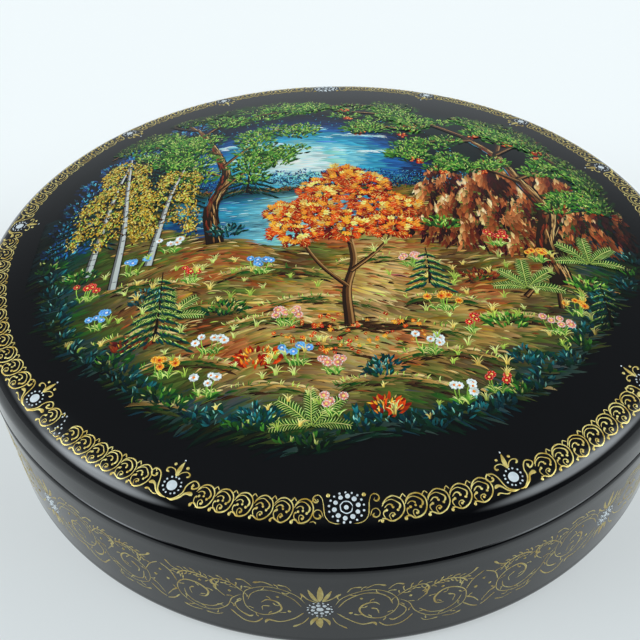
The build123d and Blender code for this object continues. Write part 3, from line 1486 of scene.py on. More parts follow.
@dataclass(frozen=True)
class Lake(Region):
    """Still water with the sky's glow in it."""

    top: float = 12.0

    def depth(self, x: Array, y: Array) -> Array:
        """How far places are inside the lake, negative outside.

        Args:
            x: first coordinates of the places.
            y: their second coordinates.

        Returns:
            The depths, in millimetres.
        """
        left, right = -46 + 5 * np.sin(y / 5.0), 17 + 3 * np.sin(y / 4.0 + 1) - 0.3 * y
        bottom = -9 + 2.6 * np.sin(x / 8.0) + 1.2 * np.sin(x / 3.3 + 2) + 0.005 * (x + 14) ** 2
        return np.minimum(np.minimum(x - left, right - x), np.minimum(y - bottom, self.top - y))

    def colour(self, x: Array, y: Array) -> Array:
        """Colours at places, dark under the far shore.

        Args:
            x: first coordinates of the places.
            y: their second coordinates.

        Returns:
            One colour a row.
        """
        glow = np.exp(-(((x + 8) / (11 + 0.3 * (self.top - y))) ** 2))
        tone = blend(np.array([10.0, 60, 100]), (46, 146, 176), clouds(x, y * 3, 21, 9.0))
        tone = blend(tone, (176, 226, 220), glow * 0.75)
        return blend(tone, (10, 54, 62), soft_step(y, 7.5, self.top) * 0.85)


@dataclass(frozen=True)
class Floor(Region):
    """The woodland floor: sunlit ochre, moss and rust, with a dark teal rim."""

    lake: Lake

    def depth(self, x: Array, y: Array) -> Array:
        """How far places are inside the floor, negative outside."""
        return np.minimum(self.lake.top - y, -self.lake.depth(x, y))

    def colour(self, x: Array, y: Array) -> Array:
        """Colours at places.

        Args:
            x: first coordinates of the places.
            y: their second coordinates.

        Returns:
            One colour a row.
        """
        fine, streaks = clouds(x, y * 1.8, 8, 5.0), clouds(x, y * 2.4, 21, 7.0)
        tone = blend(np.array([112.0, 86, 30]), (180, 136, 58), clouds(x, y * 1.4, 3, 11.0))
        tone = blend(tone, (84, 98, 26), soft_step(fine, 0.45, 0.75) * 0.85)
        tone = blend(tone, (156, 66, 24), soft_step(streaks, 0.58, 0.85) * 0.75)
        tone = blend(tone, (62, 34, 16), soft_step(1 - streaks, 0.62, 0.9) * 0.7)
        sun = np.exp(-(((x - 2) / 36) ** 2) - ((y + 34) / 14) ** 2)
        tone = blend(tone, (232, 200, 122), sun * 0.6 * soft_step(clouds(x, y * 2.0, 5, 4.5), 0.25, 0.75))
        path = 15 * np.sin((y + 58) / 24.0) - 3
        width = 4.5 - 0.08 * np.minimum(y, 0)
        tone = blend(tone, (226, 190, 122), 0.5 * np.exp(-(((x - path) / width) ** 2)))
        far = np.hypot(x / 60, (y + 18) / 46)
        rim = blend(np.array([10.0, 56, 56]), (40, 66, 24), fine)
        tone = blend(tone, rim, soft_step(far, 0.70, 1.10) * 0.92)
        return blend(tone, (6, 22, 26), soft_step(far, 1.02, 1.3) * 0.85)

    def slope(self, x: Array, y: Array) -> Array:
        """Strokes follow the floor's swell."""
        return 0.30 * np.sin(x / 15 + y / 21) + 0.16 * np.sin(x / 6 - y / 9) - 0.003 * x


@dataclass(frozen=True)
class Rocks(Region):
    """A heap of rocks with facets that are lit from the left."""

    peaks: tuple[Triple, ...] = (
        (30, 24, 15), (43, 28, 18), (58, 25, 19), (68, 16, 15), (25, 15, 13), (37, 18, 16), (51, 17, 18),
        (62, 7, 16), (28, 7, 13), (42, 8, 17), (55, -2, 15), (33, -2, 13), (45, -6, 13),
    )

    def rock(self, x: Array, y: Array) -> tuple[Array, Array]:
        """Places on the nearest rock.

        Args:
            x: first coordinates.
            y: second coordinates.

        Returns:
            The share across the rock, and the share down it, negative where no rock is.
        """
        across, down = np.zeros(x.shape), np.full(x.shape, -1.0)
        ripple = clouds(x, y * 0.2, 44, 1.6) - 0.5
        for middle, top, wide in self.peaks:
            share = (x - middle) / wide
            step = np.floor(4.6 * np.abs(share) + 0.5) / 4.6
            fall = (top + 2.2 * ripple - wide * 1.9 * (0.35 * np.abs(share) + 0.65 * step) ** 1.5 - y) / wide
            hit = (np.abs(share) < 0.62) & (fall > 0) & (fall < 1.3)
            across, down = np.where(hit, share, across), np.where(hit, fall, down)
        return across, down

    def depth(self, x: Array, y: Array) -> Array:
        """How far places are inside the heap, negative outside."""
        return np.minimum(self.rock(x, y)[1] * 9, y + 14 - 0.12 * np.abs(x - 42))

    def colour(self, x: Array, y: Array) -> Array:
        """Colours at places.

        Args:
            x: first coordinates of the places.
            y: their second coordinates.

        Returns:
            One colour a row.
        """
        across, down = self.rock(x, y)
        facet = (2.3 * across + 0.35 * down + 0.9 * clouds(x, y * 0.5, 31, 4.0)) % 1.0
        light = (1 - facet) * (1.12 - 0.8 * np.clip(down, 0, 1)) * np.where(across < 0.1, 1.0, 0.66)
        light = light + 0.30 * soft_step(0.12 - down, 0.0, 0.12)
        return ramp(light, {0.0: (26, 8, 10), 0.22: (84, 28, 16), 0.45: (150, 66, 30), 0.68: (208, 120, 62),
                            0.9: (242, 190, 128), 1.1: (250, 226, 182)})

    def slope(self, x: Array, y: Array) -> Array:
        """Strokes fall from each ridge."""
        return -math.pi / 2 + 0.9 * self.rock(x, y)[0]


@dataclass
class Canvas:
    """A painting of brush strokes, in millimetres, each laid over those that it crosses.

    A sheet is a list of groups of like strokes. A group holds each stroke's left side, right side, lift,
    tint and shade.
    """

    draw: np.random.Generator
    reach: float = 80.0
    cell: float = 0.3
    coat: float = 0.004
    fade: float = 9.0
    radius: float = 73.5
    thinnest: float = 0.08
    pace: float = 1.04
    overlap: float = 1.12
    row_stray: float = 0.3
    hue_stray: float = 60.0
    sway: float = 0.08
    sheets: dict[str, Sheet] = field(default_factory=dict)
    sheet: str = ""

    def __post_init__(self) -> None:
        """Starts a level height map and mixes the palette's plain colours."""
        side = int(2 * self.reach / self.cell)
        self.heights = np.zeros((side, side), np.float32)
        ends = np.array([tint.value for tint in PALETTE], float)
        self.mixed = (ends.mean(1)[:, None, :] * np.array(SHADES)[None, :, None]).reshape(-1, 3)

    def turn_to(self, sheet: str) -> None:
        """Chooses the sheet that takes the next strokes."""
        self.sheet = sheet
        self.sheets.setdefault(sheet, [])

    def edge(self, x: Array, y: Array) -> Array:
        """Radius of the painting's ragged edge, in the direction of places.

        Args:
            x: first coordinates of the places.
            y: their second coordinates.

        Returns:
            The radii.
        """
        turn = np.arctan2(y, x)
        ripple = 1.2 * np.sin(3 * turn + 0.7) + np.sin(7 * turn + 2.1) + 0.8 * np.sin(13 * turn + 4.0)
        return self.radius + 2.5 * np.cos(turn) ** 2 - 3.0 * np.clip(-np.sin(turn), 0, 1) ** 2 + ripple

    def nearest(self, colours: Array) -> tuple[Array, Array]:
        """The palette's tint and shade nearest to each of some colours."""
        best = ((colours[:, None, :] - self.mixed[None]) ** 2).sum(2).argmin(1)
        return best // len(SHADES), best % len(SHADES)

    def lay(self, lines: Array, widths: Array, tints: Array, shades: Array, touch: Touch) -> None:
        """Lays strokes, darker towards the painting's edge and none beyond it.

        Args:
            lines: middle lines, one stroke a row.
            widths: full width of each stroke.
            tints: number of each stroke's tint on the palette.
            shades: number of each stroke's shade.
            touch: how they swell.
        """
        count, rows = lines.shape[:2]
        middle = lines[:, rows // 2]
        depth = self.edge(middle[:, 0], middle[:, 1]) - np.hypot(middle[:, 0], middle[:, 1])
        keep = depth > 0
        if not keep.any():
            return
        darker = np.clip((self.fade - depth) / self.fade * 4, 0, 4).astype(int)
        shades = np.clip(np.broadcast_to(shades, count) - darker, 0, len(SHADES) - 1)[keep]
        tints, widths = np.broadcast_to(tints, count)[keep], np.broadcast_to(widths, count)[keep]
        lines = lines[keep]
        half = widths[:, None] * np.maximum(touch.widths(np.linspace(0, 1, rows)), self.thinnest)[None] / 2
        side = left_of(headings(lines)) * half[..., None]
        left, right = lines + side, lines - side
        under_it = [lines, (lines[:, 1:] + lines[:, :-1]) / 2]
        if widths.max() > 1.5 * self.cell:
            under_it += [left, right]
        if widths.max() > 4 * self.cell:
            under_it += [(lines + left) / 2, (lines + right) / 2]
        cells = ((np.concatenate(under_it, axis=1) + self.reach) / self.cell).astype(int)
        cells = np.clip(cells, 0, len(self.heights) - 1)
        under = self.heights[cells[..., 1], cells[..., 0]].max(axis=1)
        np.maximum.at(self.heights, (cells[..., 1], cells[..., 0]), (under + self.coat)[:, None])
        lifts = under + self.coat * (0.5 + 0.5 * (np.arange(len(lines)) + 1) / len(lines))
        self.sheets[self.sheet].append((left, right, lifts, tints, shades))

    def stroke(self, points: Line, width: float, tint: Tint, touch: Touch = Touch.LINE, rows: int = 12,
               shade: int = 4) -> None:
        """Paints one stroke along a smooth line through points."""
        self.lay(smooth_path(np.asarray(points, float), rows)[None], width, PALETTE.index(tint), shade, touch)

    def dabs(self, x: Numbers, y: Numbers, angle: Numbers, length: Numbers, width: Numbers,
             tint: Tint | Array, bend: Numbers = 0.0, touch: Touch = Touch.LEAF, rows: int = 5,
             shade: Numbers | None = None) -> None:
        """Paints short bent strokes that start at places.

        Args:
            x: first coordinates.
            y: second coordinates.
            angle: directions, in radians.
            length: lengths.
            width: widths.
            tint: one tint, or numbers on the palette.
            bend: how far the middles bulge to the left, as shares of the lengths.
            touch: how the strokes swell.
            rows: vertices along a stroke.
            shade: numbers of the shades, or none for a mixture.
        """
        values = [np.atleast_1d(np.asarray(value, float)) for value in (x, y, angle, length, width, bend)]
        x, y, angle, length, width, bend = (value[:, None] for value in np.broadcast_arrays(*values))
        share = np.linspace(0, 1, rows)[None]
        along, off = length * share, bend * length * 4 * share * (1 - share)
        lines = np.stack([x + np.cos(angle) * along - np.sin(angle) * off,
                          y + np.sin(angle) * along + np.cos(angle) * off], -1)
        shade = self.draw.integers(3, 6, len(x)) if shade is None else shade
        self.lay(lines, width[:, 0], PALETTE.index(tint) if isinstance(tint, Tint) else tint, shade, touch)

    def dots(self, x: Numbers, y: Numbers, size: Numbers, tint: Tint) -> None:
        """Paints round dots."""
        self.dabs(np.atleast_1d(x) - np.asarray(size) / 2, y, 0.0, size, size, tint, touch=Touch.ROUND,
                  shade=4)

    def scatter(self, count: int, middle: Pair, reach: Pair) -> tuple[Array, Array]:
        """Places strewn evenly over an oval.

        Args:
            count: how many.
            middle: the oval's middle.
            reach: half its width and half its height.

        Returns:
            The first and the second coordinates.
        """
        turn, out = self.draw.uniform(0, FULL_TURN, count), np.sqrt(self.draw.random(count))
        return middle[0] + reach[0] * out * np.cos(turn), middle[1] + reach[1] * out * np.sin(turn)

    def fill(self, region: Region) -> None:
        """Fills a region with rows of blended strokes, laid in mixed order.

        Args:
            region: the part of the picture to fill.
        """
        draw = self.draw
        left, right, low, high = region.area
        for level in draw.permutation(np.arange(low, high, region.gap)):
            steps = draw.uniform(*region.lengths, int((right - left) / region.lengths[0]) + 1)
            x = left + np.cumsum(steps * self.pace) - steps
            y = level + draw.normal(0, region.gap * self.row_stray, len(x))
            way = region.slope(x, y)
            middle = x + np.cos(way) * steps / 2, y + np.sin(way) * steps / 2
            fits = (x < right) & (region.depth(*middle) > 0)
            if not fits.any():
                continue
            x, y, steps, way = x[fits], y[fits], steps[fits], way[fits]
            count = len(x)
            want = region.colour(*(part[fits] for part in middle))
            want = want * (1 + draw.normal(0, region.stray, (count, 1)))
            tints, shades = self.nearest(want + draw.normal(0, self.hue_stray * region.stray, (count, 3)))
            self.dabs(x, y, way + draw.normal(0, self.sway, count), steps * self.overlap,
                      draw.uniform(*region.widths, count), tints, draw.uniform(-0.05, 0.08, count), rows=6,
                      shade=shades)


@dataclass(frozen=True)
class Tree:
    """A tree's trunk, boughs and cushions of leaves, in millimetres on the picture."""

    trunk: Line
    girth: float
    boughs: tuple[Line, ...]
    leaves: Foliage
    cushion: Pair
    cushions: int
    berries: float = 0.0


@dataclass
class Flora:
    """The plants of the painting, each as a few layers of strokes."""

    canvas: Canvas
    stalk: float = 4.5
    puff_layers: Rows = ((1.5, -0.06, 1.9, 0.85), (1.5, 0.02, 1.7, 0.6), (1.2, 0.16, 1.4, 0.4),
                         (0.8, 0.30, 1.0, 0.24))
    limb_layers: Rows = ((Tint.UMBER, 0.0, 1.0), (Tint.BARK, 0.14, 0.55), (Tint.BARK_LIGHT, 0.26, 0.2))
    fir_layers: Rows = ((0.5, 2.0, 0.8), (0.3, 1.7, 0.55), (0.1, 1.3, 0.36), (-0.1, 0.9, 0.22))
    barks: Rows = (
        (Tint.RUST, -0.8, 0.0, 60, 0.6), (Tint.BARK, -0.3, 0.8, 110, 0.55),
        (Tint.BARK_LIGHT, 0.3, 0.85, 60, 0.32), (Tint.SAND, 0.55, 0.85, 26, 0.2),
        (Tint.TURQUOISE, -0.95, -0.75, 24, 0.2),
    )
    birch_barks: Rows = ((0.0, 2.3, Tint.UMBER, 2), (0.05, 1.9, Tint.WHITE, 1), (0.28, 1.2, Tint.WHITE, 3))
    birch_leaves: Rows = (
        (Tint.UMBER, 26, 1.0), (Tint.MOSS, 26, 1.0), (Tint.GOLD_LEAF, 44, 0.95), (Tint.LIME, 14, 0.8),
        (Tint.GOLD_LIGHT, 20, 0.7),
    )

    def __post_init__(self) -> None:
        """Draws from the canvas's source of chance."""
        self.draw = self.canvas.draw

    def puff(self, x: float, y: float, wide: float, tall: float, hues: Foliage, leaf: float = 1.0,
             dense: float = 1.2) -> None:
        """A cushion of leaves, lit towards its top.

        Args:
            x: middle of the cushion.
            y: its height on the picture.
            wide: half its width.
            tall: half its height.
            hues: its colours.
            leaf: size of the leaves.
            dense: how many there are.
        """
        draw = self.draw
        for tint, (share, rise, long, broad) in zip(hues.value, self.puff_layers):
            narrow = 1 - 0.4 * max(rise, 0)
            across, up = self.canvas.scatter(max(4, int(dense * share * wide * tall)), (0, tall * rise),
                                             (wide * narrow, tall * narrow))
            count = len(across)
            fan = math.pi / 2 - 1.1 * across / wide + draw.normal(0, 0.35, count)
            self.canvas.dabs(x + across, y + up, fan, leaf * long * draw.uniform(0.75, 1.2, count),
                             leaf * broad * draw.uniform(0.8, 1.2, count), tint,
                             draw.uniform(-0.15, 0.15, count), rows=4)

    def limb(self, points: Line, thick: float) -> Array:
        """A branch: dark, with a brown flank and a lit line.

        Args:
            points: where it runs.
            thick: its width at the foot.

        Returns:
            Places along it.
        """
        line = smooth_path(points, 24)
        for tint, shift, share in self.limb_layers:
            self.canvas.stroke(line + [shift * thick, 0.4 * shift * thick], thick * share, tint,
                               Touch.TRUNK, 24)
        return line

    def bunch(self, x: float, y: float, size: float) -> None:
        """A hanging bunch of berries, each with a point of light.

        Args:
            x: middle of the bunch.
            y: its height on the picture.
            size: half its width.
        """
        x, y = self.canvas.scatter(13, (x, y), (size, 0.8 * size))
        wide = self.draw.uniform(0.7, 1.0, 13)
        self.canvas.dots(x[:6], y[:6], wide[:6], Tint.FLAME_DARK)
        self.canvas.dots(x[5:], y[5:], wide[5:], Tint.FLAME)
        self.canvas.dots(x[5:] + 0.1, y[5:] + 0.14, wide[5:] * 0.36, Tint.FLAME_TIP)

    def tree(self, tree: Tree) -> None:
        """A tree: bark in strokes along the trunk, then boughs and their leaves.

        Args:
            tree: its shape and its leaves.
        """
        draw, canvas = self.draw, self.canvas
        trunk = smooth_path(tree.trunk, 40)
        way = np.arctan2(np.gradient(trunk[:, 1]), np.gradient(trunk[:, 0]))
        canvas.stroke(trunk, tree.girth, Tint.UMBER, Touch.TRUNK, 40, 3)
        for tint, low, high, count, width in self.barks:
            t = draw.uniform(0.0, 0.94, count)
            row = (t * 39).astype(int)
            canvas.dabs(trunk[row, 0] + tree.girth * (0.48 - 0.36 * t) * draw.uniform(low, high, count),
                        trunk[row, 1], way[row] + draw.normal(0, 0.06, count), draw.uniform(2, 5, count),
                        width * tree.girth / 6, tint)
        for bough in tree.boughs:
            line = self.limb(bough, 0.28 * tree.girth)
            spots = line[draw.integers(6, 24, tree.cushions)]
            spots = spots + draw.normal(0, 0.45 * tree.cushion[0], spots.shape)
            for x, y in spots[np.argsort(-spots[:, 1])]:
                size = draw.uniform(0.75, 1.15)
                self.puff(x, y, tree.cushion[0] * size, tree.cushion[1] * size, tree.leaves)
                if draw.random() < tree.berries:
                    self.bunch(x + draw.normal(0, 1.6), y - 2.2, draw.uniform(1.2, 1.8))

    def fir(self, x: float, y: float, tall: float, hues: Foliage) -> None:
        """A fir: drooping boughs in tiers, lit at their tips.

        Args:
            x: place of its foot.
            y: height of its foot on the picture.
            tall: its height.
            hues: its colours.
        """
        draw = self.draw
        self.canvas.stroke([(x, y), (x + 0.3, y + tall * 0.5), (x, y + tall)], 0.8, Tint.UMBER, Touch.TRUNK,
                           8, 2)
        tiers = max(6, int(tall / 2.2))
        for high in np.arange(tiers) / tiers:
            reach = tall * 0.27 * (1 - high) ** 0.85 + 0.6
            level = y + tall * (0.08 + 0.9 * high)
            for tint, (drop, long, broad) in zip(hues.value, self.fir_layers):
                t = np.linspace(-1, 1, 13) + draw.normal(0, 0.04, 13)
                size = (0.45 + 0.75 * (1 - high)) * draw.uniform(0.8, 1.2, 13)
                self.canvas.dabs(x + reach * t, level - reach * (0.22 * np.abs(t) + 0.34 * t * t) - drop,
                                 -math.pi / 2 + np.sign(t) * (0.55 + 0.55 * np.abs(t)), long * size,
                                 broad * (0.6 + 0.4 * (1 - high)), tint, rows=4)

    def birch(self, x: float, y: float, tall: float, lean: float) -> None:
        """A birch: a white trunk with dark marks, and hanging golden leaves.

        Args:
            x: place of its foot.
            y: height of its foot on the picture.
            tall: its height.
            lean: how far its top leans to the right.
        """
        draw, canvas = self.draw, self.canvas
        line = smooth_path([(x, y), (x + 0.15 * lean + 0.6, y + tall * 0.35),
                            (x + 0.55 * lean, y + tall * 0.7), (x + lean, y + tall)], 24)
        for shift, width, tint, shade in self.birch_barks:
            canvas.stroke(line + [shift, 0], width, tint, Touch.TRUNK, 24, shade)
        t, side = draw.uniform(0.02, 0.9, 36), np.where(draw.random(36) < 0.5, 1.0, -1.0)
        at, wide = line[(t * 23).astype(int)], 1.9 * (1 - 0.75 * t)
        canvas.dabs(at[:, 0] + side * wide * 0.52, at[:, 1], np.where(side > 0, math.pi, 0.0),
                    wide * draw.uniform(0.3, 0.8, 36), draw.uniform(0.16, 0.4, 36), Tint.NIGHT, rows=4)
        for k, t in enumerate(np.linspace(0.36, 0.98, 13)):
            foot = line[int(t * 23)]
            reach = draw.uniform(5.0, 8.5) * (1.25 - 0.7 * t)
            out = reach * (1 if k % 2 else -1)
            bough = self.limb([foot, foot + [0.5 * out, 0.35 * reach], foot + [out, 0],
                               foot + [1.15 * out, -0.6 * reach]], 0.4)
            for tint, count, size in self.birch_leaves:
                at = bough[draw.integers(5, 24, count)] + draw.normal(0, 0.95, (count, 2)) - [0, 0.6]
                canvas.dabs(at[:, 0], at[:, 1], draw.uniform(-2.4, -0.7, count),
                            size * draw.uniform(0.8, 1.4, count), size * 0.5, tint, rows=4)

    def maple_leaves(self, x: Array, y: Array, angle: Array, size: Array, tint: Tint) -> None:
        """Leaves of five pointed lobes with a light vein.

        Args:
            x: first coordinates of their feet.
            y: second coordinates.
            angle: their directions.
            size: their lengths.
            tint: their colour.
        """
        shade = np.repeat(self.draw.integers(3, 6, len(x)), 5)
        lobes = np.tile([-1.15, 1.15, -0.6, 0.6, 0.0], len(x))
        longs = np.tile([0.6, 0.6, 0.85, 0.85, 1.0], len(x))
        self.canvas.dabs(np.repeat(x, 5), np.repeat(y, 5), np.repeat(angle, 5) + lobes,
                         np.repeat(size, 5) * longs, np.repeat(size, 5) * 0.36, tint, rows=4, shade=shade)
        vein = Tint.FLAME if tint is Tint.FLAME_TIP else Tint.FLAME_TIP
        self.canvas.dabs(x, y, angle, size * 0.75, 0.13, vein, rows=4, touch=Touch.LINE)

    def fern(self, x: float, y: float, angle: float, length: float, bend: float) -> None:
        """A fern frond: paired leaflets with pale golden outlines.

        Args:
            x: place of its foot.
            y: height of its foot on the picture.
            angle: its direction.
            length: its length.
            bend: how far its tip bends to the left, as a share of its length.
        """
        canvas = self.canvas
        t = np.linspace(0, 1, 16)
        line = np.stack([x + length * (math.cos(angle) * t - math.sin(angle) * bend * t * t),
                         y + length * (math.sin(angle) * t + math.cos(angle) * bend * t * t)], 1)
        way = np.arctan2(np.gradient(line[:, 1]), np.gradient(line[:, 0]))[1:15]
        canvas.stroke(line, 0.4, Tint.LEAF_DARK, Touch.TRUNK)
        at, long = line[1:15], length * 0.21 * np.sin(math.pi * (0.95 - 0.8 * t[1:15])) + 0.3
        for side in (-1, 1):
            for tint, share, width, touch in ((Tint.LEAF_DARK, 1.0, 0.2, Touch.LEAF),
                                              (Tint.LEAF, 0.85, 0.12, Touch.LEAF),
                                              (Tint.LEAF_TIP, 0.92, 0.04, Touch.LINE)):
                canvas.dabs(at[:, 0], at[:, 1], way + side, share * long, width * (long + 1), tint,
                            -0.1 * side, touch)
        canvas.stroke(line, 0.18, Tint.LEAF_TIP)

    def tuft(self, x: float, y: float, size: float, tint: Tint) -> None:
        """A tuft of fine arching grass."""
        fan = np.linspace(-1, 1, 6) + self.draw.normal(0, 0.1, 6) + self.draw.normal(0, 0.4)
        self.canvas.dabs(x + 0.12 * size * fan, y, math.pi / 2 - 0.55 * fan,
                         size * self.draw.uniform(0.65, 1.15, 6), 0.2, tint, 0.2 * fan, Touch.LINE, 6)

    def posy(self, x: float, y: float, reach: float, count: int, bloom: Bloom) -> None:
        """Flowers on thin curved stalks, with leaves at their feet.

        Args:
            x: middle of the group.
            y: height of its foot on the picture.
            reach: how far the flowers spread.
            count: how many there are.
            bloom: their colours.
        """
        draw, canvas = self.draw, self.canvas
        tall, aside = self.stalk, x + draw.uniform(-reach, reach, count)
        heads = np.stack([aside, y + tall * draw.uniform(0.6, 1.2, count)], 1)
        foot = x + 0.5 * (heads[:, 0] - x)
        for side in (-1, 1):
            for tint, width, touch in ((Tint.LEAF, 0.55, Touch.LEAF), (Tint.LEAF_TIP, 0.2, Touch.LINE)):
                canvas.dabs(foot, y - 0.15 * tall, math.pi / 2 + side * draw.uniform(0.3, 1.1, count),
                            tall * 0.58, width, tint, -0.18 * side, touch)
        rise = np.hypot(heads[:, 1] - y, heads[:, 0] - foot)
        canvas.dabs(foot, y, np.arctan2(heads[:, 1] - y, heads[:, 0] - foot), rise, 0.22, Tint.LEAF_LIGHT,
                    0.08, Touch.LINE)
        petal, heart, edge = bloom.value
        for x, y in heads[np.argsort(-heads[:, 1])]:
            size = draw.uniform(1.7, 2.4)
            turn = FULL_TURN * np.arange(8) / 8 + draw.uniform(0, 1)
            canvas.dabs(x, y, turn, size * 0.52, size * 0.36, petal, rows=4)
            canvas.dots(x + 0.42 * size * np.cos(turn + 0.4), y + 0.38 * size * np.sin(turn + 0.4),
                        size * 0.13, edge)
            canvas.dots(x, y, size * 0.3, heart)


@dataclass
class Woodland:
    """The picture: an autumn wood by a lake, in millimetres on the lid, painted from far to near."""

    flora: Flora
    sky: Sky = Sky((-52, 36, 13, 60), 0.42, (3.0, 7.5), (0.4, 0.95), 0.045)
    lake: Lake = Lake((-50, 24, -14, 12), 0.36, (2.2, 6.0), (0.25, 0.6), 0.10)
    rocks: Rocks = Rocks((20, 76, -14, 34), 0.40, (1.6, 3.6), (0.45, 1.0), 0.05)
    firs: Line = ((-60, 4), (-50, 8), (-42, 10), (-64, -3), (-22, 12), (67, 8))
    birches: Rows = ((-60, -16, 50, 4), (-53, -22, 60, -3), (-45, -15, 42, 5))
    oak: Tree = Tree(
        ((-29, -9), (-31, 6), (-28, 20), (-31, 34), (-36, 48), (-42, 58)),
        4.6,
        (
            ((-29, 14), (-22, 24), (-15, 30), (-9, 33)), ((-29, 27), (-22, 38), (-16, 47), (-8, 52)),
            ((-30, 22), (-40, 30), (-48, 36), (-57, 38)), ((-36, 46), (-48, 48), (-56, 46), (-62, 40)),
            ((-36, 48), (-30, 56), (-20, 60), (-8, 64)), ((-38, 52), (-46, 58), (-40, 62), (-30, 64)),
            ((-30, 34), (-36, 38), (-44, 42), (-50, 44)), ((-20, 60), (-6, 64), (8, 66), (22, 64)),
        ),
        Foliage.GREEN,
        (5.8, 4.2),
        7,
    )
    rowan: Tree = Tree(
        ((54, -24), (52.5, -10), (55, 5), (50, 20), (46, 32), (38, 44)),
        6.6,
        (
            ((50, 20), (58, 27), (62, 34), (59, 42)), ((54, 4), (61, 9), (67, 13), (70, 9)),
            ((46, 32), (48, 42), (44, 51), (36, 57)), ((38, 44), (28, 52), (16, 58), (2, 61)),
            ((30, 51), (22, 47), (14, 49), (8, 46)), ((40, 41), (31, 40), (24, 36), (20, 30)),
            ((50, 19), (41, 25), (34, 26), (29, 21)), ((60, 34), (65, 28), (69, 24), (71, 19)),
            ((46, 33), (54, 42), (56, 48), (52, 54)),
        ),
        Foliage.GREEN,
        (4.4, 3.1),
        10,
        0.4,
    )
    rowan_roots: Line = ((-9, -29), (-1, -32), (7, -30), (14, -25))
    maple_crowns: Rows = (
        (-9, -6, 7.0), (15, -4, 6.6), (3, -4, 7.0), (-12, 2, 5), (18, 4, 4.6), (-4, 3, 7), (11, 6, 7),
        (-2, 12, 6.8), (9, 14, 6.2), (4, 19, 5.4),
    )
    maple_limbs: tuple[Line, ...] = (
        ((3, -39), (2.6, -28), (4.6, -18), (3.6, -6), (5, 10)), ((2.8, -27), (-3, -20), (-7, -12), (-9, -3)),
        ((3.6, -22), (10, -15), (14, -8), (15, 1)), ((4.2, -12), (0, -5), (-2, 4), (-2, 12)),
        ((4.2, -10), (9, -3), (11, 6), (11, 12)),
    )
    maple_girths: tuple[float, ...] = (2.6, 1.4, 1.4, 1.1, 1.1)
    beds: Rows = ((64, 194, 348, 17), (52, 200, 340, 13), (41, 196, 344, 9), (27, 190, 352, 5))
    bushes: tuple[Foliage, ...] = (Foliage.TEAL, Foliage.GREEN, Foliage.PINE, Foliage.RUSSET, Foliage.TEAL,
                                   Foliage.FLAME)
    young_firs: Rows = ((-41, -41, 23), (22, -26, 13), (63, -36, 15))
    cloud_banks: Rows = ((-22, 37, 9), (6, 41, 10), (-8, 47, 8), (-28, 28, 7), (14, 31, 8), (-2, 33, 7))
    shores: Rows = ((18.5, 3.4, Foliage.BLUE), (15.6, 3.2, Foliage.FAR_GREEN), (12.6, 1.8, Foliage.SHORE))
    ripples: Rows = ((Tint.DEEP_BLUE, 60, 3.4), (Tint.SKY, 110, 2.4), (Tint.CLOUD, 70, 2.0))
    licks: Rows = (
        (Tint.UMBER, 260, 0.55), (Tint.MOSS, 260, 0.6), (Tint.SIENNA, 160, 0.5), (Tint.OCHRE, 260, 0.5),
        (Tint.SAND, 220, 0.4), (Tint.LIME, 90, 0.3),
    )
    hummock_sides: Rows = (
        (2.8, Tint.UMBER, 20), (2.2, Tint.MOSS, 20), (1.5, Tint.LEAF_DARK, 16), (0.9, Tint.OCHRE, 18),
        (0.3, Tint.SAND, 14),
    )
    crown_layers: Rows = ((6.0, -0.10), (7.5, -0.02), (3.6, 0.16), (1.6, 0.30))

    def __post_init__(self) -> None:
        """Takes the canvas and the source of chance from the flora, and lays out the floor."""
        self.canvas, self.draw = self.flora.canvas, self.flora.draw
        self.floor = Floor((-76, 74, -76, 12), 0.38, (2.2, 6.5), (0.35, 1.0), 0.10, self.lake)

    def wash(self, x: Array, y: Array) -> Array:
        """Colour of the thin coat under the strokes, black at the picture's edge.

        Args:
            x: first coordinates of the places.
            y: their second coordinates.

        Returns:
            One colour a row.
        """
        tone = blend(self.floor.colour(x, y), (6, 14, 16),
                     soft_step(np.abs(x + 4), 38, 50) * soft_step(y, -4, 10))
        for region in (self.sky, self.lake, self.rocks):
            tone = blend(tone, region.colour(x, y), soft_step(region.depth(x, y), -0.7, 0.7))
        return np.clip(blend(tone, (5, 6, 7), soft_step(np.hypot(x, y) - self.canvas.edge(x, y), -8, -1)),
                       0, 255)

    def paint_distance(self) -> None:
        """Sky, cloud, points of light in the dark, the far shore and the water."""
        canvas, draw = self.canvas, self.draw
        canvas.fill(self.sky)
        for x, y, wide in self.cloud_banks:
            for tint in (Tint.SKY, Tint.CLOUD):
                t = draw.uniform(-1, 1, 13)
                canvas.dabs(x + wide * t - 2, y + 1.3 * (1 - t**2) + draw.normal(0, 0.45, 13),
                            draw.normal(0, 0.1, 13), draw.uniform(2, 5, 13), draw.uniform(0.3, 0.7, 13),
                            tint, 0.12)
        turn, out = draw.uniform(0.1, math.pi - 0.1, 260), draw.uniform(0.72, 1.15, 260)
        x = self.sky.middle[0] + self.sky.reach[0] * out * np.cos(turn)
        y = self.sky.middle[1] + self.sky.reach[1] * out * np.sin(turn)
        canvas.dots(x, y, draw.uniform(0.18, 0.5, 260), Tint.TURQUOISE)
        for base, tall, hues in self.shores:
            for x in np.arange(-50, 34, 3.1):
                x, y = self.draw.normal(0, 0.5) + x, base + self.draw.uniform(-0.8, 0.9)
                self.flora.puff(x, y, self.draw.uniform(1.8, 3.0), tall * self.draw.uniform(0.6, 1.15),
                                hues, 0.5, 1.6)
        canvas.fill(self.lake)
        for tint, count, size in self.ripples:
            x, y = draw.uniform(-44, 16, count), draw.uniform(-12, 9, count)
            wet = self.lake.depth(x, y) > 1
            canvas.dabs(x[wet], y[wet], draw.normal(0, 0.03, wet.sum()),
                        size * draw.uniform(0.7, 1.4, wet.sum()), 0.2, tint, 0.05)

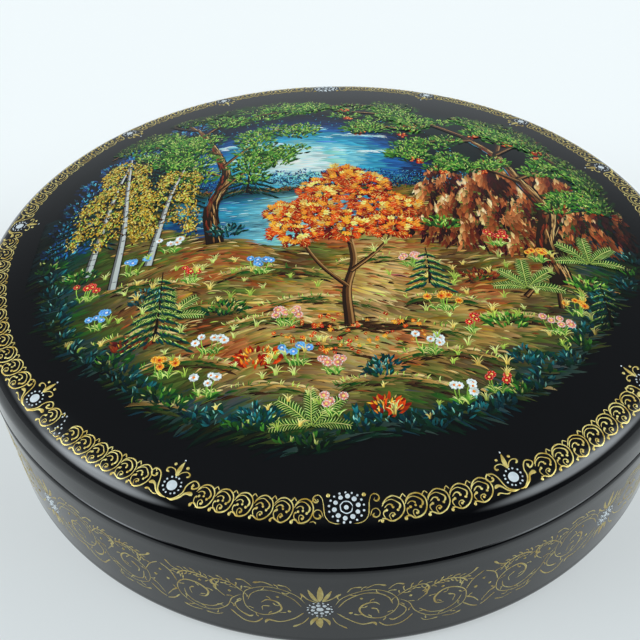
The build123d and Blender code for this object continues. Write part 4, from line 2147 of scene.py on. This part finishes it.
    def paint_ground(self) -> None:
        """The woodland floor with its hummocks, and the rocks."""
        canvas, draw, floor = self.canvas, self.draw, self.floor
        canvas.fill(floor)
        for tint, count, wide in self.licks:
            x, y = canvas.scatter(count, (0, -16), (56, 42))
            free = floor.depth(x, y) > 0
            x, y, count = x[free], y[free], free.sum()
            canvas.dabs(x, y, floor.slope(x, y), draw.uniform(1.4, 4.5, count),
                        wide * draw.uniform(0.6, 1.3, count), tint, draw.uniform(0.02, 0.14, count))
        for row, level in enumerate(np.arange(-22, -62, -8.5)):
            for x in np.arange(-46 + 14 * (row % 2), 50, 29) + draw.normal(0, 2):
                y, wide = level + draw.normal(0, 1.5), draw.uniform(9, 14)
                for drop, tint, count in self.hummock_sides:
                    t = draw.uniform(-1, 1, count)
                    rise = 0.2 * wide * (1 - t * t) - drop
                    canvas.dabs(x + wide * t, y + rise + draw.normal(0, 0.3, count), -0.4 * t,
                                draw.uniform(1.6, 4.2, count), draw.uniform(0.25, 0.7, count), tint, 0.08)
                for tint in (Tint.LEAF, Tint.LIME, Tint.LEAF_TIP):
                    t = draw.uniform(-1, 1, 9)
                    canvas.dabs(x + wide * t, y + 0.2 * wide * (1 - t * t) - 0.5,
                                math.pi / 2 - 0.7 * t + draw.normal(0, 0.3, 9), draw.uniform(0.8, 1.9, 9),
                                0.22, tint, 0.1, Touch.LINE)
        canvas.fill(self.rocks)

    def paint_wood(self) -> None:
        """Dark trees at the left, the oak in front of them, and three birches."""
        for turn in np.linspace(2.2, 3.2, 8):
            self.flora.puff(68 * math.cos(turn), 66 * math.sin(turn), 5.5, 4.8, Foliage.BLUE, dense=0.9)
        for x, y in self.firs:
            self.flora.fir(x, y, 22 + self.draw.uniform(-8, 10), Foliage.FIR)
        self.flora.tree(self.oak)
        for birch in self.birches:
            self.flora.birch(*birch)

    def paint_rowan(self) -> None:
        """The great rowan on the right, arching over the lake."""
        for x, y in self.rowan_roots:
            self.flora.limb([(53 + x, y), (53 + 0.4 * x, -22), (54, -17)], 1.6)
        self.flora.tree(self.rowan)

    def paint_maple(self) -> None:
        """The small maple in the middle, in reds, orange and gold, with leaves strewn under it."""
        canvas, draw = self.canvas, self.draw
        for x, y, radius in self.maple_crowns:
            x, y = canvas.scatter(int(9 * radius), (x, y), (0.9 * radius, 0.72 * radius))
            count = len(x)
            canvas.dabs(x, y, draw.uniform(0, FULL_TURN, count), draw.uniform(1.6, 3.0, count),
                        draw.uniform(0.8, 1.4, count), Tint.MAROON, rows=4)
        t = draw.uniform(-1, 1, 60)
        canvas.dabs(4 + 14 * t, -39.5 + draw.normal(0, 0.8, 60), draw.normal(0, 0.1, 60),
                    draw.uniform(2, 5, 60), 0.6, Tint.UMBER)
        for points, girth in zip(self.maple_limbs, self.maple_girths):
            self.flora.limb(points, girth)
        for x, y, radius in self.maple_crowns:
            for tint, (share, rise) in zip(Foliage.FLAME.value, self.crown_layers):
                reach = (1 - 0.5 * abs(rise)) * radius
                across, up = canvas.scatter(int(share * radius), (0, radius * rise), (reach, 0.82 * reach))
                count = len(across)
                way = np.arctan2(up + 2, across) + draw.normal(0, 0.5, count)
                self.flora.maple_leaves(x + across, y + up, way, draw.uniform(1.2, 2.0, count), tint)
        for tint in (Tint.FLAME, Tint.FLAME_LIGHT, Tint.RED):
            x, y = canvas.scatter(30, (3, -41), (17, 6))
            self.flora.maple_leaves(x, y, 3 * x, draw.uniform(0.7, 1.2, 30), tint)

    def paint_undergrowth(self) -> None:
        """A hedge along the rim, then beds of bushes, ferns and flowers, young firs and grass."""
        canvas, draw, flora = self.canvas, self.draw, self.flora
        for turn in np.arange(math.radians(188), math.radians(352), 0.075):
            out = canvas.edge(np.cos(turn), np.sin(turn)) - draw.uniform(1.5, 5.5)
            hues = Foliage.TEAL if draw.random() < 0.65 else Foliage.PINE
            flora.puff(out * math.cos(turn), out * math.sin(turn), draw.uniform(2.4, 4.2),
                       draw.uniform(1.6, 2.8), hues, 1.35, 0.9)
        blooms, plant = tuple(Bloom), 0
        for out, first, last, count in self.beds[::-1]:
            for turn in np.radians(np.linspace(first, last, count)) + draw.normal(0, 0.03, count):
                x, y = out * math.cos(turn), (out + draw.normal(0, 1.5)) * math.sin(turn)
                if abs(x - 3) < 8 and y > -46:
                    continue
                if plant % 3 == 0:
                    flora.puff(x, y, draw.uniform(3.4, 5.2), draw.uniform(2.0, 3.0),
                               self.bushes[plant // 3 % len(self.bushes)], 1.1, 1.3)
                elif plant % 9 == 4 and out > 50:
                    for side in (-2, -1, 0, 1, 2):
                        flora.fern(x, y, math.pi / 2 - 0.55 * side, 10 - abs(side) + draw.uniform(-1, 1),
                                   -0.25 * side)
                else:
                    flora.posy(x, y, draw.uniform(2.6, 4.4), int(draw.integers(4, 8)),
                               blooms[plant % len(blooms)])
                plant += 1
        for fir in self.young_firs:
            flora.fir(*fir, Foliage.YOUNG_FIR)
        for tint in (Tint.LEAF_TIP, Tint.LIME, Tint.GOLD_LIGHT):
            for x, y in zip(*canvas.scatter(50, (0, -30), (64, 40))):
                if self.floor.depth(x, y) > 1 and y < -12 and abs(x - 3) > 6:
                    flora.tuft(x, y, draw.uniform(1.6, 3.2), tint)

    def paint(self) -> Canvas:
        """Paints the whole picture.

        Returns:
            The canvas, with its sheets from far to near.
        """
        steps = {
            "distance": self.paint_distance, "ground": self.paint_ground, "wood": self.paint_wood,
            "rowan": self.paint_rowan, "maple": self.paint_maple, "undergrowth": self.paint_undergrowth,
        }
        for sheet, step in steps.items():
            self.canvas.turn_to(sheet)
            step()
        return self.canvas


@dataclass
class Miniature:
    """The painting as pieces on the lid: a thin wash, and sheets of strokes over it."""

    painter: Painter
    finish: Finish
    seed: int = 5
    wash_gap: float = 0.8
    wash_lift: float = 0.010 * MM
    stroke_lift: float = 0.014 * MM
    columns: int = 16
    margin: float = 0.1
    gain: float = 1.04

    def linear(self, colours: Array) -> Array:
        """Turns colours with parts in 0 to 255 into linear light."""
        share = np.clip(np.asarray(colours, float) * self.gain / 255, 0, 1)
        return np.where(share <= 0.04045, share / 12.92, ((share + 0.055) / 1.055) ** 2.4)

    def drape(self, name: str, places: Array, faces: Array, colours: Array, chart: Array,
              lift: float) -> Object:
        """Makes a piece of the painting and lays it on the lid.

        Args:
            name: name of the piece.
            places: its vertices on flat paper, in millimetres, with their lift in Z.
            faces: four vertex numbers a row.
            colours: linear colour of each vertex.
            chart: place of each vertex on the colour chart.
            lift: how far the piece lies above the lacquer, in metres.

        Returns:
            The piece.
        """
        source = mesh_object(name + "_flat", places * MM, faces.tolist())
        paint = source.data.attributes.new("paint", "FLOAT_COLOR", "POINT")
        paint.data.foreach_set("color", np.column_stack([colours, np.ones(len(colours))]).ravel())
        layer = source.data.uv_layers.new(name="OFBake")
        layer.data.foreach_set("uv", chart[faces.ravel()].ravel())
        piece = self.painter.run(name, source, self.painter.drape_tree(), self.finish, {"Ground Coat": lift})
        flat = np.zeros(3 * len(piece.data.vertices), np.float32)
        piece.data.vertices.foreach_get("co", flat)
        piece.data.shade_smooth()
        normals = self.painter.lid.normals(flat[0::3].astype(float), flat[1::3].astype(float))
        piece.data.normals_split_custom_set_from_vertices(normals.tolist())
        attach(piece, "lid")
        return piece

    def build_wash(self, picture: Woodland) -> Object:
        """The thin coat of colour under the strokes.

        Args:
            picture: the picture that gives its colours.

        Returns:
            The piece.
        """
        canvas = picture.canvas
        line = np.arange(-canvas.reach, canvas.reach, self.wash_gap)
        x, y = np.meshgrid(line, line)
        inside = np.hypot(x, y) < canvas.edge(x, y)
        corner = np.arange(x.size).reshape(x.shape)
        corners = corner[:-1, :-1], corner[:-1, 1:], corner[1:, 1:], corner[1:, :-1]
        quads = np.stack(corners, -1).reshape(-1, 4)
        quads = quads[inside.ravel()[quads].all(axis=1)]
        used, faces = np.unique(quads, return_inverse=True)
        x, y = x.ravel()[used], y.ravel()[used]
        chart = np.stack([x, y], 1) / (2 * canvas.reach) + 0.5
        colours = self.linear(picture.wash(x, y))
        return self.drape("miniature_wash", np.stack([x, y, 0 * x], 1), faces.reshape(-1, 4), colours,
                          chart, self.wash_lift)

    def build_sheet(self, name: str, work: Sheet) -> Object:
        """One sheet of strokes, each a ribbon that runs from its tint's start to its end.

        Args:
            name: name of the piece.
            work: the sheet's groups of strokes.

        Returns:
            The piece. Each tint and shade has its own cell on the colour chart.
        """
        ends = np.array([tint.value for tint in PALETTE], float)
        mixed = self.linear(ends[:, None] * np.array(SHADES)[None, :, None, None])
        places, faces, colours, chart, first = [], [], [], [], 0
        for left, right, lifts, tints, shades in work:
            count, rows = left.shape[:2]
            share = np.linspace(0, 1, rows)[None, :, None, None]
            lift = np.broadcast_to(lifts[:, None, None, None], (count, rows, 2, 1))
            places.append(np.concatenate([np.stack([left, right], 2), lift], -1).reshape(-1, 3))
            start, end = (mixed[tints, shades, k][:, None, None] for k in (0, 1))
            colours.append(np.broadcast_to(start + (end - start) * share, (count, rows, 2, 3)).reshape(-1, 3))
            cell = (tints * len(SHADES) + shades)[:, None, None]
            across = cell % self.columns + self.margin + (1 - 2 * self.margin) * share[..., 0]
            upward = cell // self.columns + np.array([1 - self.margin, self.margin])[None, None]
            chart.append(np.stack(np.broadcast_arrays(across, upward), -1).reshape(-1, 2) / self.columns)
            corner = first + 2 * rows * np.arange(count)[:, None] + 2 * np.arange(rows - 1)[None]
            faces.append(np.stack([corner, corner + 1, corner + 3, corner + 2], -1).reshape(-1, 4))
            first += 2 * rows * count
        joined = (np.concatenate(part) for part in (places, faces, colours, chart))
        return self.drape(name, *joined, self.stroke_lift)

    def build(self) -> list[Object]:
        """Paints the picture and lays it on the lid.

        Returns:
            The wash and the sheets.
        """
        picture = Woodland(Flora(Canvas(np.random.default_rng(self.seed))))
        sheets = [self.build_sheet(f"miniature_{name}", work)
                  for name, work in picture.paint().sheets.items()]
        return [self.build_wash(picture)] + sheets


@dataclass(frozen=True)
class Softbox:
    """A large soft light far from the box, seen as a rounded rectangle with a soft edge."""

    azimuth: float
    elevation: float
    half_width: float
    half_height: float
    radiance: float
    turn: float = 0.0

    def aim(self) -> dict[str, object]:
        """A softbox group's inputs. The angles are in degrees, from +X and from the table.

        Returns:
            A value for each input but the direction.
        """
        azimuth, elevation, turn = (math.radians(a) for a in (self.azimuth, self.elevation, self.turn))
        level = Vector((-math.sin(azimuth), math.cos(azimuth), 0.0))
        centre = Vector((math.cos(elevation) * math.cos(azimuth), math.cos(elevation) * math.sin(azimuth),
                         math.sin(elevation)))
        upright = centre.cross(level)
        side = (level * math.cos(turn) + upright * math.sin(turn)) / math.tan(math.radians(self.half_width))
        up = (upright * math.cos(turn) - level * math.sin(turn)) / math.tan(math.radians(self.half_height))
        return {"Centre": centre, "Side": side, "Up": up, "Brightness": self.radiance}


@cache
def softbox_group() -> NodeTree:
    """Group that gives a softbox's radiance in each direction.

    Returns:
        The group: Side and Up are divided by the half sizes, so that its edge is at 1.
    """
    corner_power, behind, soft_edge = 2.2, 0.02, (1.15, 0.35)
    inputs = {**dict.fromkeys(("Direction", "Centre", "Side", "Up"), "NodeSocketVector"), "Brightness": 0.0}
    group, inside, outside = new_group("softbox", "ShaderNodeTree", inputs, {"Radiance": "NodeSocketFloat"})

    def along(label: str) -> Quantity:
        """The direction's share along a named axis.

        Args:
            label: name of the axis's input.

        Returns:
            The share.
        """
        dot = add_node(group, "ShaderNodeVectorMath", operation="DOT_PRODUCT")
        feed(dot.inputs[0], inside.outputs["Direction"])
        feed(dot.inputs[1], inside.outputs[label])
        return Quantity(dot.outputs["Value"])

    ahead = along("Centre").through("MAXIMUM", behind)
    across, upward = ((along(label) / ahead).through("ABSOLUTE") ** corner_power for label in ("Side", "Up"))
    reach = (across + upward) ** (1 / corner_power)
    feed(outside.inputs["Radiance"], eased(reach, soft_edge, (0.0, 1.0)) * inside.outputs["Brightness"])
    return group


def eased(value: Quantity, ends: Pair, results: Pair) -> Quantity:
    """A number taken smoothly from one range to another.

    Args:
        value: the number.
        ends: where it starts and ends.
        results: what it gives at either end.

    Returns:
        The new number.
    """
    return Quantity(add_node(value.socket.id_data, "ShaderNodeMapRange", interpolation_type="SMOOTHSTEP",
                             Value=value, From_Min=ends[0], From_Max=ends[1], To_Min=results[0],
                             To_Max=results[1]).outputs[0])


@dataclass
class Studio:
    """Pale floor, soft lights and the camera. None of it belongs to the box."""

    form: LidForm
    floor_size: float = 6.0
    floor_clearance: float = 0.02 * MM
    focal_pixels: float = 1000.0
    picture_pixels: float = 640.0
    sensor_width: float = 36.0
    nearest: float = 10.0 * MM
    elevation: float = 41.26
    roll: float = 1.437
    distance_in_radii: float = 2.6125
    aim_in_radii: Pair = (-0.0421, -0.3227)
    aim_height: float = 43.6 * MM
    haze_heights: Pair = (0.05, 0.55)
    haze_radiances: Pair = (0.42, 0.17)
    front_depths: Pair = (-0.65, 0.1)
    front_shares: Pair = (0.08, 1.0)
    backdrop: Colour = (0.89, 0.92, 0.94)
    light_tint: Colour = (0.93, 1.015, 1.07)
    floor_colour: Colour = (0.37, 0.38, 0.38)
    # The floor's glow is painted light, dimmer towards the front as painted shade.
    floor_glow: Colour = (0.93, 0.99, 1.0)
    floor_glows: Pair = (0.28, 0.60)
    glow_depths: Pair = (-0.26, 0.14)
    softboxes: tuple[Softbox, ...] = (
        Softbox(azimuth=196.0, elevation=32.0, half_width=20.0, half_height=18.0, radiance=7.2, turn=-16.0),
        Softbox(azimuth=172.0, elevation=42.0, half_width=22.0, half_height=20.0, radiance=3.0),
        Softbox(azimuth=-18.0, elevation=34.0, half_width=24.0, half_height=18.0, radiance=5.8),
        Softbox(azimuth=10.0, elevation=36.0, half_width=20.0, half_height=22.0, radiance=2.0),
    )

    def build_floor(self) -> Object:
        """The pale table top. It glows as painted light, less towards the front as painted shade.

        Returns:
            The floor.
        """
        half, level = self.floor_size / 2, -self.floor_clearance
        corners = [(-half, -half, level), (half, -half, level), (half, half, level), (-half, half, level)]
        floor = mesh_object("floor", np.array(corners), [(0, 1, 2, 3)])
        finish = Finish("pale_floor")
        depth = finish.node("ShaderNodeSeparateXYZ", Vector=finish.place()).outputs["Y"]
        # Painted light: the floor glows, and glows less towards the front as painted shade.
        finish.set(Base_Color=(*self.floor_colour, 1.0), Roughness=0.8,
                   Emission_Color=(*self.floor_glow, 1.0),
                   Emission_Strength=eased(Quantity(depth), self.glow_depths, self.floor_glows))
        floor.data.materials.append(finish.material)
        return floor

    def build_world(self) -> None:
        """A dim room with softboxes on either side, and a pale backdrop for the camera alone."""
        world = bpy.data.worlds.new("room")
        bpy.context.scene.world = world
        world.use_nodes = True
        tree = world.node_tree
        direction = add_node(tree, "ShaderNodeTexCoord").outputs["Generated"]
        split = add_node(tree, "ShaderNodeSeparateXYZ", Vector=direction).outputs
        glow = eased(Quantity(split["Z"]), self.haze_heights, self.haze_radiances)
        glow = glow * eased(Quantity(split["Y"]), self.front_depths, self.front_shares)
        for softbox in self.softboxes:
            lamp = add_node(tree, "ShaderNodeGroup", node_tree=softbox_group(), Direction=direction,
                            **softbox.aim())
            glow = glow + lamp.outputs["Radiance"]
        cool = add_node(tree, "ShaderNodeVectorMath", operation="MULTIPLY")
        feed(cool.inputs[0], glow)
        feed(cool.inputs[1], self.light_tint)
        to_camera = add_node(tree, "ShaderNodeLightPath").outputs["Is Camera Ray"]
        seen = mixed(tree, to_camera, cool.outputs[0], self.backdrop)
        feed(tree.nodes["Background"].inputs["Color"], seen)

    def build_camera(self) -> Object:
        """The camera at the photograph's viewing angle.

        Returns:
            The camera.
        """
        radius = self.form.outer_radius
        tilt, roll = math.radians(self.elevation), math.radians(self.roll)
        back = Vector((0.0, -math.cos(tilt), math.sin(tilt)))
        right, up = Vector((1.0, 0.0, 0.0)), Vector((0.0, math.sin(tilt), math.cos(tilt)))
        turned_right = right * math.cos(roll) - up * math.sin(roll)
        turned_up = right * math.sin(roll) + up * math.cos(roll)
        aim = Vector((self.aim_in_radii[0] * radius, self.aim_in_radii[1] * radius, self.aim_height))
        lens = bpy.data.cameras.new("camera")
        lens.sensor_width, lens.clip_start = self.sensor_width, self.nearest
        lens.lens = self.sensor_width * self.focal_pixels / self.picture_pixels
        camera = link_piece("camera", lens)
        turn = Matrix((turned_right, turned_up, back)).transposed().to_4x4()
        camera.matrix_world = Matrix.Translation(aim + back * self.distance_in_radii * radius) @ turn
        bpy.context.scene.camera = camera
        return camera


def main() -> None:
    """Builds the box's pieces in order and reports each."""
    logging.basicConfig(level=logging.INFO, format="%(name)s: %(message)s")
    bpy.context.scene.view_settings.view_transform = "Standard"
    lid_form, base_form = LidForm(), BaseForm()
    studio = Studio(lid_form)
    studio.build_camera()
    studio.build_floor()
    studio.build_world()
    black, red = BlackLacquer(), RedLacquer()
    lid = Lid(lid_form, black, red)
    base = Base(base_form, black, red)
    pieces = [lid.build_top(), lid.build_rim(), base.build_wall(), base.build_floor(), base.build_collar()]
    painter = Painter(lid_form, base_form)
    gold, white = GoldPaint(), WhitePaint()
    pieces += LidBorder(painter, gold, white).build()
    # The base wall's band takes a darker copy of the gold.
    pieces += WallBand(painter, GoldPaint("darker_gold_paint", depth=0.6), white).build()
    pieces += Miniature(painter, LacqueredTempera()).build()
    for piece in pieces:
        log.info("%s: %d faces", piece.name, len(piece.data.polygons))


if __name__ == "__main__":
    main()
